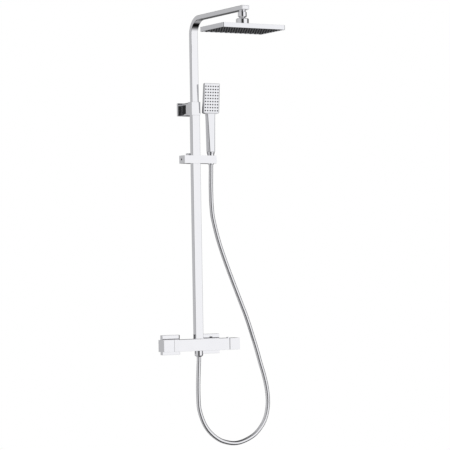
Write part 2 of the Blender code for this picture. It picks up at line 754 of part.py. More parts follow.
def build_tube_guide(joint):
    """Plug on the foot of the upper tube that runs inside the lower one, and its seal."""
    width = LOWER_WIDTH - 2 * TUBE_WALL - 2 * RUN
    depth = LOWER_DEPTH - 2 * TUBE_WALL - 2 * RUN
    corner = TUBE_CORNER - TUBE_WALL
    top = UPPER_BOTTOM - GAP
    low = top - GUIDE_LENGTH
    seat = low + SEAL_ABOVE_FOOT
    rim = seat + SEAL_WIDTH
    groove = SEAL_GROOVE
    levels = [(low, 0), (seat, 0), (seat, groove), (rim, groove), (rim, 0), (top, 0)]
    rings = []
    for height, sunk in levels:
        section = rounded_outline(width - 2 * sunk, depth - 2 * sunk, corner, 1)
        rings.append([(x, COLUMN_Y + y, height) for x, y in section])
    mesh = loft_mesh("tube_guide_plug", rings)
    guide = finish_piece("tube_guide_plug", mesh, (0, COLUMN_Y, low), acetal(), joint)
    spigot_w = UPPER_WIDTH - 2 * TUBE_WALL - 2 * GAP
    spigot_d = UPPER_DEPTH - 2 * TUBE_WALL - 2 * GAP
    section = rounded_outline(spigot_w, spigot_d, corner, 1)
    rings = [
        [(x, COLUMN_Y + y, height) for x, y in section]
        for height in (top - PLUG_DEPTH_IN_GUIDE, top + GUIDE_SPIGOT)
    ]
    name = "tube_guide_spigot"
    spigot = finish_piece(name, loft_mesh(name, rings), (0, COLUMN_Y, top), None)
    apply_cut(guide, spigot, "UNION")
    cut_rod(guide, GUIDE_BORE, (0, COLUMN_Y, 0), low - 0.001, top + GUIDE_SPIGOT + 0.001, "Z", 16)
    sunk = groove - GAP
    outer = rounded_outline(width, depth, corner, 1)
    inner = rounded_outline(width - 2 * sunk, depth - 2 * sunk, corner, 1)
    seal_low = seat + GAP
    path = straight_path(seal_low, rim - GAP)
    mesh = tube_mesh("tube_guide_seal", path, outer, inner)
    finish_piece("tube_guide_seal", mesh, (0, COLUMN_Y, seal_low), rubber(), joint)


# ---------------------------------------------------------------- wall bracket
def build_bracket():
    front = COLUMN_Y - LOWER_DEPTH / 2 - GAP - COLLAR_FRONT_WALL
    back = front + COLLAR_DEPTH
    top = BRACKET_Z + COLLAR_HEIGHT / 2
    bottom = BRACKET_Z - COLLAR_HEIGHT / 2
    half = COLLAR_WIDTH / 2
    collar = make_box(
        "bracket_collar", (-half, front, bottom), (half, back, top), chrome(), bevel=EDGE
    )
    wide = LOWER_WIDTH / 2 + GAP
    deep = LOWER_DEPTH / 2 + GAP
    cut_box(
        collar,
        (-wide, COLUMN_Y - deep, bottom - 0.001),
        (wide, COLUMN_Y + deep, LOWER_TOP + GAP),
    )
    wide = UPPER_WIDTH / 2 + RUN
    deep = UPPER_DEPTH / 2 + RUN
    cut_box(collar, (-wide, COLUMN_Y - deep, LOWER_TOP), (wide, COLUMN_Y + deep, top + 0.001))
    base_front = -BASE_THICKNESS
    tie = (0, 0, BRACKET_Z)
    cut_rod(collar, TIE_SCREW + 2 * GAP, tie, back - 0.0045, back + 0.001, "Y", 12)
    section = rounded_outline(NECK_WIDTH, NECK_HEIGHT, NECK_CORNER, 5)
    ends = [
        [(px, y, BRACKET_Z + pz) for px, pz in section] for y in (back + GAP, -PLATE_DEPTH - GAP)
    ]
    neck = finish_piece("bracket_neck", loft_mesh("bracket_neck", ends), tie, chrome())
    shade_round(neck)
    cut_rod(neck, TIE_SCREW + 2 * GAP, tie, back - 0.001, -PLATE_DEPTH + 0.001, "Y", 12)
    base = make_box(
        "bracket_base_plate",
        (-BASE_WIDTH / 2, base_front, BRACKET_Z - BASE_HEIGHT / 2),
        (BASE_WIDTH / 2, 0, BRACKET_Z + BASE_HEIGHT / 2),
        steel(), bevel=0.0004, segments=1,
    )
    cut_rod(base, TIE_SCREW + 2 * GAP, tie, base_front - 0.001, 0.001, "Y", 12)
    head = TIE_SCREW / 2 + 0.0025
    cut_rod(base, 2 * (head + GAP), tie, -0.0018 - GAP, 0.001, "Y", 16)
    screw = TIE_SCREW / 2
    outline = [
        (0, back - 0.0040), (screw, back - 0.0040), (screw, -0.0018), (head, -0.0018),
        (head, -GAP), (0, -GAP),
    ]
    make_turned("bracket_tie_screw", outline, tie, steel(), "Y", 12)
    for tag, side in (("left", -1), ("right", 1)):
        build_wall_screw(tag, side, base, base_front)
    build_bracket_rose(tie)


def build_wall_screw(tag, side, base, base_front):
    centre = (side * WALL_SCREW_SPACING / 2, 0, BRACKET_Z)
    cut_rod(base, WALL_SCREW + 2 * GAP, centre, base_front - 0.001, 0.001, "Y", 12)
    shank = WALL_SCREW / 2
    head = shank + 0.0022
    front = base_front - GAP
    outline = [
        (0, front - 0.0024), (head - 0.0010, front - 0.0024), (head, front - 0.0012),
        (head, front), (shank, front), (shank, WALL_SCREW_LENGTH - 0.005),
        (0, WALL_SCREW_LENGTH),
    ]
    make_turned(f"wall_screw_{tag}", outline, centre, steel(), "Y", 12)


def build_bracket_rose(tie):
    """Square cover over the base plate; the neck is drawn against its face by the tie screw."""
    half_w = PLATE_WIDTH / 2
    half_h = PLATE_HEIGHT / 2
    low = (-half_w, -PLATE_DEPTH, BRACKET_Z - half_h)
    high = (half_w, 0, BRACKET_Z + half_h)
    rose = make_box("bracket_rose", low, high, chrome(), bevel=EDGE)
    cut_box(
        rose,
        (low[0] + PLATE_WALL, low[1] + PLATE_WALL, low[2] + PLATE_WALL),
        (high[0] - PLATE_WALL, 0.002, high[2] - PLATE_WALL),
    )
    cut_rod(rose, TIE_SCREW + 2 * GAP, tie, -PLATE_DEPTH - 0.001, 0, "Y", 12)


# ---------------------------------------------------------------- rain head
def sphere_arc(radius, start, end, steps):
    """(radius, height) pairs on a sphere, angles in degrees from straight down."""
    points = []
    for step in range(steps + 1):
        angle = math.radians(start + (end - start) * step / steps)
        points.append((radius * math.sin(angle), -radius * math.cos(angle)))
    return points


def build_arm_outlet(joint):
    """Nipple through the underside of the arm, and the swivel nut with its ball."""
    centre = (0, OUTLET_CENTRE_Y, 0)
    stem = NIPPLE_DIAMETER / 2
    bore = NIPPLE_BORE / 2
    neck = NECK_DIAMETER / 2
    top = ARM_BOTTOM + TUBE_WALL + 0.0060
    foot = SWIVEL_NUT_TOP - 0.0080
    outline = [
        (bore, foot), (stem, foot), (stem, SWIVEL_NUT_TOP + GAP), (neck, SWIVEL_NUT_TOP + GAP),
        (neck, ARM_BOTTOM - GAP), (stem, ARM_BOTTOM - GAP), (stem, top), (bore, top),
    ]
    make_turned("arm_outlet_nipple", outline, centre, chrome(), parent=joint)
    washer = ring_outline(NIPPLE_DIAMETER, 0.0050, foot - GAP - 0.0015, foot - GAP)
    make_turned("flow_limiter", washer, centre, acetal(), steps=20, parent=joint)
    ball = sphere_arc(BALL_DIAMETER / 2, 25, 140, 11)
    ball = [(r, z + BALL_Z) for r, z in ball]
    nut = SWIVEL_NUT_DIAMETER / 2
    chamfer = 0.0020
    stem_hole = stem + GAP
    seat = foot - 2 * GAP - 0.0015
    outline = [(bore, ball[0][1])] + ball + [
        (ball[-1][0], SWIVEL_NUT_BOTTOM), (nut - chamfer, SWIVEL_NUT_BOTTOM),
        (nut, SWIVEL_NUT_BOTTOM + chamfer), (nut, SWIVEL_NUT_TOP - chamfer),
        (nut - chamfer, SWIVEL_NUT_TOP), (stem_hole, SWIVEL_NUT_TOP), (stem_hole, seat),
        (bore, seat),
    ]
    make_turned("swivel_nut_and_ball", outline, centre, chrome(), parent=joint)


def build_ball_seat(joint):
    inner = BALL_DIAMETER / 2 + RUN
    outer = inner + SEAT_WALL
    low, high = 42, 104
    inside = sphere_arc(inner, low, high, 6)
    outside = sphere_arc(outer, low, high, 6)
    outline = [(r, z + BALL_Z) for r, z in outside + inside[::-1]]
    centre = (0, OUTLET_CENTRE_Y, 0)
    origin = (0, OUTLET_CENTRE_Y, BALL_Z)
    make_turned("ball_seat", outline, centre, acetal(), parent=joint, origin=origin)


def build_hub(joint):
    cavity = BALL_DIAMETER / 2 + RUN + SEAT_WALL + RUN + 0.0002
    radius = cavity + HUB_WALL
    bottom = HEAD_TOP + GAP
    top = BALL_Z + HUB_ABOVE_BALL
    chamfer = 0.0016
    rim = math.degrees(math.acos(-HUB_ABOVE_BALL / cavity))
    arc = sphere_arc(cavity, 38, rim, 7)
    arc = [(r, z + BALL_Z) for r, z in arc]
    hole = HUB_HOLE / 2
    outline = [
        (hole, bottom), (radius, bottom), (radius, top - chamfer), (radius - chamfer, top),
        *arc[::-1], (hole, arc[0][1]),
    ]
    centre = (0, OUTLET_CENTRE_Y, 0)
    origin = (0, OUTLET_CENTRE_Y, BALL_Z)
    make_turned("head_hub_nut", outline, centre, chrome(), steps=32, parent=joint, origin=origin)


def build_rain_head(joint):
    half_w = HEAD_WIDTH / 2
    half_d = HEAD_DEPTH / 2
    y = OUTLET_CENTRE_Y
    bottom = HEAD_TOP - HEAD_THICKNESS
    origin = (0, y, BALL_Z)
    shell = make_box(
        "rain_head_shell", (-half_w, y - half_d, bottom), (half_w, y + half_d, HEAD_TOP),
        plated_plastic(), joint, EDGE, origin,
    )
    wide = half_w - HEAD_RIM
    deep = half_d - HEAD_RIM
    cut_box(
        shell, (-wide, y - deep, bottom - 0.001), (wide, y + deep, HEAD_TOP - HEAD_SKIN)
    )
    centre = (0, y, 0)
    weld_turned(
        shell, rod_outline(HEAD_BOSS, HEAD_TOP - HEAD_SKIN, HEAD_TOP + HEAD_BOSS_PROUD), centre
    )
    cut_rod(shell, HEAD_INLET, centre, HEAD_TOP - 0.006, HEAD_TOP + 0.005, "Z", 20)
    plate_low = bottom + 0.0006
    plate = make_box(
        "rain_head_nozzle_plate",
        (-wide + GAP, y - deep + GAP, plate_low),
        (wide - GAP, y + deep - GAP, plate_low + SPRAY_PLATE_THICKNESS),
        silicone(), joint, origin=origin,
    )
    grid = nozzle_grid(
        "rain_head_nozzles", HEAD_COLUMNS, HEAD_ROWS, HEAD_PITCH_X, HEAD_PITCH_Y,
        HEAD_NOZZLE, HEAD_NOZZLE_PROUD, Matrix.Translation((0, y, plate_low)),
    )
    apply_cut(plate, grid, "UNION")


def nozzle_grid(name, columns, rows, pitch_x, pitch_y, diameter, proud, place):
    """Rows of short six-sided cones that point to -Z, before they are placed."""
    shape = bmesh.new()
    for column in range(columns):
        for row in range(rows):
            at = (
                (column - (columns - 1) / 2) * pitch_x,
                (row - (rows - 1) / 2) * pitch_y,
                -proud / 2 + 0.0005,
            )
            bmesh.ops.create_cone(
                shape, cap_ends=True, segments=6, radius1=diameter * 0.36,
                radius2=diameter / 2, depth=proud + 0.001, matrix=Matrix.Translation(at),
            )
    mesh = mesh_from(shape, name)
    mesh.transform(place)
    return finish_piece(name, mesh, (0, 0, 0), None)


# ---------------------------------------------------------------- slider
def rail_half_width():
    return LOWER_WIDTH / 2 + RUN + LINER_WALL + GAP


def rail_front():
    return COLUMN_Y - LOWER_DEPTH / 2 - RUN - LINER_WALL - GAP


def build_slider_block(joint):
    back = SLIDER_FRONT_Y + SLIDER_DEPTH
    origin = (0, COLUMN_Y, SLIDER_BOTTOM)
    block = make_box(
        "slider_block", (-SLIDER_LEFT, SLIDER_FRONT_Y, SLIDER_BOTTOM),
        (SLIDER_RIGHT, back, SLIDER_TOP), chrome(), joint, EDGE, origin,
    )
    wide = rail_half_width()
    cut_box(
        block, (-wide, rail_front(), SLIDER_BOTTOM - 0.001), (wide, back + 0.001, SLIDER_TOP + 0.001)
    )
    foot = CONE_FOOT_DIAMETER / 2
    rim = CONE_RIM_DIAMETER / 2
    slope = (rim - foot) / (SLIDER_HEIGHT + CONE_BELOW_HOLDER)
    low_radius = foot + slope * CONE_BELOW_HOLDER + RUN
    top_radius = rim + RUN
    extra = 0.001
    socket = [
        (0, SLIDER_BOTTOM - extra), (low_radius - slope * extra, SLIDER_BOTTOM - extra),
        (top_radius + slope * extra, SLIDER_TOP + extra), (0, SLIDER_TOP + extra),
    ]
    cut_turned(block, socket, (HOLDER_X, HOLDER_Y, 0), "Z", 32)
    slot = HOSE_DIAMETER / 2 + SLOT_CLEARANCE
    cut_box(
        block, (HOLDER_X, HOLDER_Y - slot, SLIDER_BOTTOM - 0.001),
        (SLIDER_RIGHT + 0.001, HOLDER_Y + slot, SLIDER_TOP + 0.001),
    )
    hole = SET_SCREW + 2 * GAP
    middle = (0, SET_SCREW_Y, (SLIDER_BOTTOM + SLIDER_TOP) / 2)
    depth = SET_SCREW_LENGTH + 0.0010
    cut_rod(block, hole, middle, -SLIDER_LEFT - 0.001, -SLIDER_LEFT + depth, "X", 16)
    for side in (-1, 1):
        centre = (side * yoke_screw_x(), 0, middle[2])
        cut_rod(block, YOKE_SCREW + 2 * GAP, centre, back - 0.009, back + 0.001, "Y", 12)
    build_set_screw(middle, joint)


def build_set_screw(middle, joint):
    face = -SLIDER_LEFT + 0.0006
    outline = rod_outline(SET_SCREW, face, face + SET_SCREW_LENGTH)
    screw = make_turned("holder_set_screw", outline, middle, steel(), "X", 16, joint)
    name = "holder_set_screw_socket"
    mesh = hexagon_mesh(name, 0.0030, face - 0.001, face + 0.003, middle, "X")
    apply_cut(screw, finish_piece(name, mesh, middle, None))


def yoke_screw_x():
    return (rail_half_width() + YOKE_WIDTH / 2) / 2


def build_liner(joint):
    """U-shaped acetal liner between the slider and the rail."""
    outer_w = rail_half_width() - GAP
    outer_front = rail_front() + GAP
    back = COLUMN_Y + LOWER_DEPTH / 2 + RUN
    low = SLIDER_BOTTOM + GAP
    high = SLIDER_TOP - GAP
    origin = (0, COLUMN_Y, SLIDER_BOTTOM)
    liner = make_box(
        "slider_liner", (-outer_w, outer_front, low), (outer_w, back, high), acetal(), joint,
        origin=origin,
    )
    wide = outer_w - LINER_WALL
    cut_box(liner, (-wide, outer_front + LINER_WALL, low - 0.001), (wide, back + 0.001, high + 0.001))


def build_yoke(joint):
    """Cap that closes the slider behind the rail, with lugs for the release lever."""
    front = SLIDER_FRONT_Y + SLIDER_DEPTH + GAP
    inner = COLUMN_Y + LOWER_DEPTH / 2 + RUN + GAP
    back = inner + YOKE_BACK_WALL
    half = YOKE_WIDTH / 2
    origin = (0, COLUMN_Y, SLIDER_BOTTOM)
    yoke = make_box(
        "slider_yoke", (-half, front, SLIDER_BOTTOM + GAP), (half, back, SLIDER_TOP - GAP),
        chrome(), joint, 0.0006, origin,
    )
    wide = rail_half_width()
    cut_box(yoke, (-wide, front - 0.001, SLIDER_BOTTOM - 0.001), (wide, inner, SLIDER_TOP + 0.001))
    pin_z = SLIDER_BOTTOM + LEVER_PIVOT_ABOVE
    pin_y = back + LEVER_FROM_YOKE + LEVER_THICKNESS / 2
    for side in (-1, 1):
        near = LEVER_WIDTH / 2 + RUN
        xs = sorted((side * near, side * (near + LUG_WIDTH)))
        weld_box(yoke, (xs[0], back - 0.002, pin_z - 0.004), (xs[1], pin_y + 0.004, pin_z + 0.004))
    reach = LEVER_WIDTH / 2 + RUN + LUG_WIDTH
    cut_rod(yoke, LEVER_PIN + 2 * GAP, (0, pin_y, pin_z), -reach - 0.001, reach + 0.001, "X", 12)
    middle = (SLIDER_BOTTOM + SLIDER_TOP) / 2
    cut_box(
        yoke, (-SHOE_WIDTH / 2 - RUN, inner - 0.001, middle - SHOE_HEIGHT / 2 - RUN),
        (SHOE_WIDTH / 2 + RUN, back + 0.001, middle + SHOE_HEIGHT / 2 + RUN),
    )
    for side in (-1, 1):
        centre = (side * yoke_screw_x(), 0, middle)
        cut_rod(yoke, YOKE_SCREW + 2 * GAP, centre, front - 0.001, back + 0.001, "Y", 12)
        cut_rod(yoke, YOKE_SCREW + 0.0036, centre, back - 0.003, back + 0.001, "Y", 16)
        tag = "left" if side < 0 else "right"
        build_yoke_screw(tag, centre, front, back, joint)
    make_box(
        "friction_shoe",
        (-SHOE_WIDTH / 2, COLUMN_Y + LOWER_DEPTH / 2 + GAP, middle - SHOE_HEIGHT / 2),
        (SHOE_WIDTH / 2, back + 0.0010, middle + SHOE_HEIGHT / 2),
        acetal(), joint, origin=origin,
    )
    return back, pin_y, pin_z


def build_yoke_screw(tag, centre, front, back, joint):
    shank = YOKE_SCREW / 2
    head = shank + 0.0014
    outline = [
        (0, front - 0.0080), (shank, front - 0.0080), (shank, back - 0.0030 + GAP),
        (head, back - 0.0030 + GAP), (head, back - 0.0004), (0, back - 0.0004),
    ]
    make_turned(f"yoke_screw_{tag}", outline, centre, steel(), "Y", 12, joint)


def build_lever(back, pin_y, pin_z, slider_joint):
    """Release lever behind the rail: its wide top is pressed towards the rail."""
    lever_joint = make_joint("lever_pivot", (0, pin_y, pin_z), slider_joint)
    half = LEVER_WIDTH / 2
    front = back + LEVER_FROM_YOKE
    rear = front + LEVER_THICKNESS
    top = SLIDER_TOP + LEVER_TOP_ABOVE
    origin = (0, pin_y, pin_z)
    lever = make_box(
        "release_lever", (-half, front, pin_z - 0.0035), (half, rear, top), chrome(), lever_joint,
        0.0010, origin,
    )
    lip = SLIDER_TOP + 0.0020
    reach = back - 0.0060
    taper = 0.0045
    wide_ring = [(-half, reach, lip), (half, reach, lip), (half, rear - 0.002, lip)]
    wide_ring.append((-half, rear - 0.002, lip))
    narrow = half - taper
    high_ring = [(-narrow, reach, top), (narrow, reach, top), (narrow, rear - 0.002, top)]
    high_ring.append((-narrow, rear - 0.002, top))
    name = "release_lever_thumb_rest"
    mesh = loft_mesh(name, [wide_ring, high_ring])
    apply_cut(lever, finish_piece(name, mesh, origin, None), "UNION")
    cut_rod(lever, LEVER_PIN + 2 * RUN, (0, pin_y, pin_z), -half - 0.001, half + 0.001, "X", 12)
    reach_x = half + RUN + LUG_WIDTH
    outline = rod_outline(LEVER_PIN, -reach_x, reach_x)
    make_turned("lever_pin", outline, (0, pin_y, pin_z), steel(), "X", 12, slider_joint)


# ---------------------------------------------------------------- hand shower
def handset_sections():
    """(height over the foot, centre Y, width, depth, corner) up the grip and the spray head."""
    y = HOLDER_Y
    shoulder = GRIP_LENGTH
    tall = SPRAY_HEIGHT
    slope = math.tan(SPRAY_TILT)
    front = y - SPRAY_FRONT
    rows = [
        (0.0, y, 0.0236, 0.0240, 0.0060),
        (0.0015, y, 0.0246, 0.0250, 0.0060),
        (0.0300, y, 0.0258, 0.0238, 0.0055),
        (0.0700, y, 0.0280, 0.0215, 0.0050),
        (0.1110, y, 0.0308, 0.0190, 0.0045),
        (shoulder - 0.0015, y, 0.0322, 0.0182, 0.0045),
        (shoulder, y, 0.0330, 0.0180, 0.0045),
    ]
    for rise, width, depth in (
        (0.0012, 0.0540, 0.0165), (0.0035, 0.0602, 0.0168), (0.0060, SPRAY_WIDTH, 0.0166),
        (tall * 0.35, SPRAY_WIDTH, 0.0150), (tall * 0.70, SPRAY_WIDTH, 0.0134),
        (tall - 0.0030, SPRAY_WIDTH, 0.0124), (tall - 0.0008, 0.0602, 0.0112),
        (tall, 0.0588, 0.0098),
    ):
        inset = 0.0012 if rise in (0.0012, tall) else 0.0
        rows.append((
            shoulder + rise, front - rise * slope + inset / 2 + depth / 2, width, depth, 0.0030,
        ))
    return rows


def build_handset(joint):
    foot = SLIDER_TOP + HANDLE_FOOT_ABOVE
    rings = []
    for rise, y, width, depth, corner in handset_sections():
        rings.append([
            (HOLDER_X + px * (1 - BACK_NARROWING * (py / depth + 0.5)), y + py, foot + rise)
            for px, py in rounded_outline(width, depth, corner)
        ])
    origin = (HOLDER_X, HOLDER_Y, SLIDER_TOP)
    shell = finish_piece(
        "handset_shell", loft_mesh("handset_shell", rings), origin, plated_plastic(), joint
    )
    shade_round(shell)
    cut_rod(
        shell, HANDSET_CONNECTOR + 2 * GAP, (HOLDER_X, HOLDER_Y, 0), foot - 0.001,
        foot + CONNECTOR_DEPTH + GAP, "Z", 20,
    )
    face_z = foot + GRIP_LENGTH + SPRAY_HEIGHT / 2
    face_y = HOLDER_Y - SPRAY_FRONT - SPRAY_HEIGHT / 2 * math.tan(SPRAY_TILT)
    facing = (
        Matrix.Translation((HOLDER_X, face_y, face_z))
        @ Matrix.Rotation(SPRAY_TILT, 4, "X")
        @ Matrix.Rotation(math.radians(-90), 4, "X")
    )
    name = "handset_shell_recess"
    half_w = FACE_WIDTH / 2
    half_h = FACE_HEIGHT / 2
    mesh = box_mesh(name, (-half_w, -half_h, -0.004), (half_w, half_h, FACE_THICKNESS))
    mesh.transform(facing)
    apply_cut(shell, finish_piece(name, mesh, (0, 0, 0), None))
    name = "handset_shell_chamber"
    in_w = half_w - FACE_LEDGE
    in_h = half_h - FACE_LEDGE
    mesh = box_mesh(name, (-in_w, -in_h, 0), (in_w, in_h, FACE_THICKNESS + CHAMBER_DEPTH))
    mesh.transform(facing)
    apply_cut(shell, finish_piece(name, mesh, (0, 0, 0), None))
    top = foot + GRIP_LENGTH + 0.012
    cut_rod(shell, GRIP_BORE, (HOLDER_X, HOLDER_Y, 0), foot + CONNECTOR_DEPTH - GAP, top, "Z", 16)
    name = "handset_spray_face"
    low = (-half_w + GAP, -half_h + GAP, 0.0001)
    mesh = box_mesh(name, low, (half_w - GAP, half_h - GAP, FACE_THICKNESS - GAP))
    mesh.transform(facing)
    face = finish_piece(name, mesh, origin, silicone(), joint)
    grid = nozzle_grid(
        "handset_nozzles", FACE_COLUMNS, FACE_ROWS, FACE_PITCH_X, FACE_PITCH_Z, FACE_NOZZLE,
        FACE_NOZZLE_PROUD, facing @ Matrix.Translation((0, 0, 0.0001)),
    )
    apply_cut(face, grid, "UNION")


def build_connector(joint):
    """Threaded brass connector in the foot of the hand shower, down into the hose nut."""
    foot = SLIDER_TOP + HANDLE_FOOT_ABOVE
    low = SLIDER_TOP + CONE_ABOVE_HOLDER - HOSE_TOP_BELOW_CONE + WASHER_THICKNESS + 2 * GAP
    high = foot + CONNECTOR_DEPTH
    outline = ring_outline(HANDSET_CONNECTOR, CONNECTOR_BORE, low, high, 0.0004)
    centre = (HOLDER_X, HOLDER_Y, 0)
    origin = (HOLDER_X, HOLDER_Y, SLIDER_TOP)
    make_turned("handset_connector", outline, centre, brass(), "Z", 20, joint, origin)


def build_cone_nut(joint):
    """Hollow conical nut on the end of the hose, which sits in the holder, and its washer."""
    centre = (HOLDER_X, HOLDER_Y, 0)
    top = SLIDER_TOP + CONE_ABOVE_HOLDER
    bottom = SLIDER_BOTTOM - CONE_BELOW_HOLDER
    stem = HANDSET_CONNECTOR / 2
    hose_top = top - HOSE_TOP_BELOW_CONE
    bore = HOSE_DIAMETER / 2 + HOSE_FIT
    origin = (HOLDER_X, HOLDER_Y, SLIDER_TOP)
    hole = max(bore, stem + GAP)
    washer_top = hose_top + GAP + WASHER_THICKNESS
    washer = ring_outline(2 * (hole - GAP), WASHER_BORE, hose_top + GAP, washer_top)
    make_turned("hose_washer_top", washer, centre, rubber(), "Z", 20, joint, origin)
    wide = CONE_TOP_DIAMETER / 2
    rim = CONE_RIM_DIAMETER / 2
    base = CONE_FOOT_DIAMETER / 2
    outline = [
        (bore, bottom), (base - 0.0004, bottom), (base, bottom + 0.0006), (rim, SLIDER_TOP),
        (wide - 0.0006, top - 0.0034), (wide, top - 0.0024), (wide, top - 0.0006),
        (wide - 0.0006, top), (hole, top), (hole, hose_top), (bore, hose_top - 0.0004),
    ]
    make_turned("hose_cone_nut", outline, centre, chrome(), "Z", 32, joint, origin)


def build_outlet():
    """Hose outlet under the valve: nipple, washer and the nut on the end of the hose."""
    centre = (0, OUTLET_Y, 0)
    under = -BAR_TOP
    inner = OUTLET_NIPPLE_LENGTH - GAP
    low = under - OUTLET_NIPPLE_LENGTH
    outline = ring_outline(OUTLET_NIPPLE, OUTLET_NIPPLE_BORE, low, under + inner, 0.0004)
    make_turned("outlet_nipple", outline, centre, brass(), steps=20)
    hose_top = under - OUTLET_NIPPLE_LENGTH - 2 * GAP - WASHER_THICKNESS
    washer_top = hose_top + GAP + WASHER_THICKNESS
    bore = HOSE_DIAMETER / 2 + HOSE_FIT
    hole = max(bore, OUTLET_NIPPLE / 2 + GAP)
    washer = ring_outline(2 * (hole - GAP), WASHER_BORE, hose_top + GAP, washer_top)
    make_turned("hose_washer_bottom", washer, centre, rubber(), steps=20)
    top = under - GAP
    radius = OUTLET_NUT_DIAMETER / 2
    straight = top - OUTLET_NUT_STRAIGHT
    low = straight - OUTLET_NUT_TAPER
    outline = [
        (bore, low), (OUTLET_NUT_END / 2, low), (radius - 0.003, straight - 0.001),
        (radius, straight), (radius, top - 0.0008), (radius - 0.0008, top), (hole, top),
        (hole, hose_top), (bore, hose_top - 0.0004),
    ]
    make_turned("hose_outlet_nut", outline, centre, chrome(), steps=24)
    return hose_top


def smooth_route(points, spacing):
    """Even points on a smooth curve through the route."""
    ends = [points[0] * 2 - points[1]] + points + [points[-1] * 2 - points[-2]]
    dense = []
    for a, b, c, d in zip(ends, ends[1:], ends[2:], ends[3:]):
        for step in range(24):
            t = step / 24
            dense.append(
                0.5 * (2 * b + (c - a) * t + (2 * a - 5 * b + 4 * c - d) * t * t
                       + (3 * b - a - 3 * c + d) * t * t * t)
            )
    dense.append(points[-1])
    length = sum((b - a).length for a, b in zip(dense, dense[1:]))
    count = round(length / spacing)
    step = length / count
    even = [dense[0]]
    walked = 0.0
    for a, b in zip(dense, dense[1:]):
        part = (b - a).length
        while walked + part >= step * len(even) and len(even) < count:
            even.append(a.lerp(b, (step * len(even) - walked) / part))
        walked += part
    even.append(dense[-1])
    return even


def build_hose(bottom_z):
    top_z = SLIDER_TOP + CONE_ABOVE_HOLDER - HOSE_TOP_BELOW_CONE
    ends = (Vector((HOLDER_X, HOLDER_Y, top_z)), Vector((0, OUTLET_Y, bottom_z)))
    route = [ends[0]] + [Vector(point) for point in HOSE_ROUTE] + [ends[1]]
    points = smooth_route(route, HOSE_DIAMETER * 1.5)
    curve = bpy.data.curves.new("hose", "CURVE")
    curve.dimensions = "3D"
    curve.bevel_depth = HOSE_DIAMETER / 2
    curve.bevel_resolution = 2
    curve.use_fill_caps = True
    spline = curve.splines.new("POLY")
    spline.points.add(len(points) - 1)
    for slot, point in zip(spline.points, points):
        slot.co = (*(point - ends[1]), 1.0)
    hose = bpy.data.objects.new("shower_hose", curve)
    bpy.context.scene.collection.objects.link(hose)
    hose.location = ends[1]
    curve.materials.append(make_material("shower_hose_" + hose_steel()[0], *hose_steel()[1:]))


def build_shower_column():
    clear_scene()
    build_valve_body()
    build_cartridge("diverter_cartridge", -1, brass())
    build_cartridge("thermostatic_cartridge", 1, brass())
    flow = make_joint("flow_handle_axis", (0, VALVE_Y, 0))
    build_spindle("diverter_spindle", -1, flow)
    build_handle("flow_handle", -1, flow)
    heat = make_joint("temperature_handle_axis", (0, VALVE_Y, 0))
    build_spindle("temperature_spindle", 1, heat)
    handle = build_handle("temperature_handle", 1, heat)
    build_stop_button(handle, heat)
    build_stop_ring()
    for tag, side in (("left", -1), ("right", 1)):
        build_union(tag, side)
    build_lower_tube()
    build_riser_foot()
    build_bracket()
    telescope = make_joint("riser_slide", (0, COLUMN_Y, LOWER_TOP))
    build_upper_tube(telescope)
    build_arm_end_cap(telescope)
    build_tube_guide(telescope)
    build_arm_outlet(telescope)
    centre = (0, OUTLET_CENTRE_Y, BALL_Z)
    nod = make_joint("head_nod", centre, telescope)
    build_ball_seat(nod)
    roll = make_joint("head_roll", centre, nod)
    build_hub(roll)
    build_rain_head(roll)
    slider = make_joint("slider_slide", (0, COLUMN_Y, SLIDER_BOTTOM))
    build_slider_block(slider)
    build_liner(slider)
    build_lever(*build_yoke(slider), slider)
    holder = (HOLDER_X, HOLDER_Y, SLIDER_TOP)
    lift = make_joint("handset_lift", holder, slider)
    build_cone_nut(lift)
    swivel = make_joint("handset_swivel", holder, lift)
    build_handset(swivel)
    build_connector(swivel)
    build_hose(build_outlet())
    bpy.context.view_layer.update()


build_shower_column()
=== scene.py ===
import json
import math

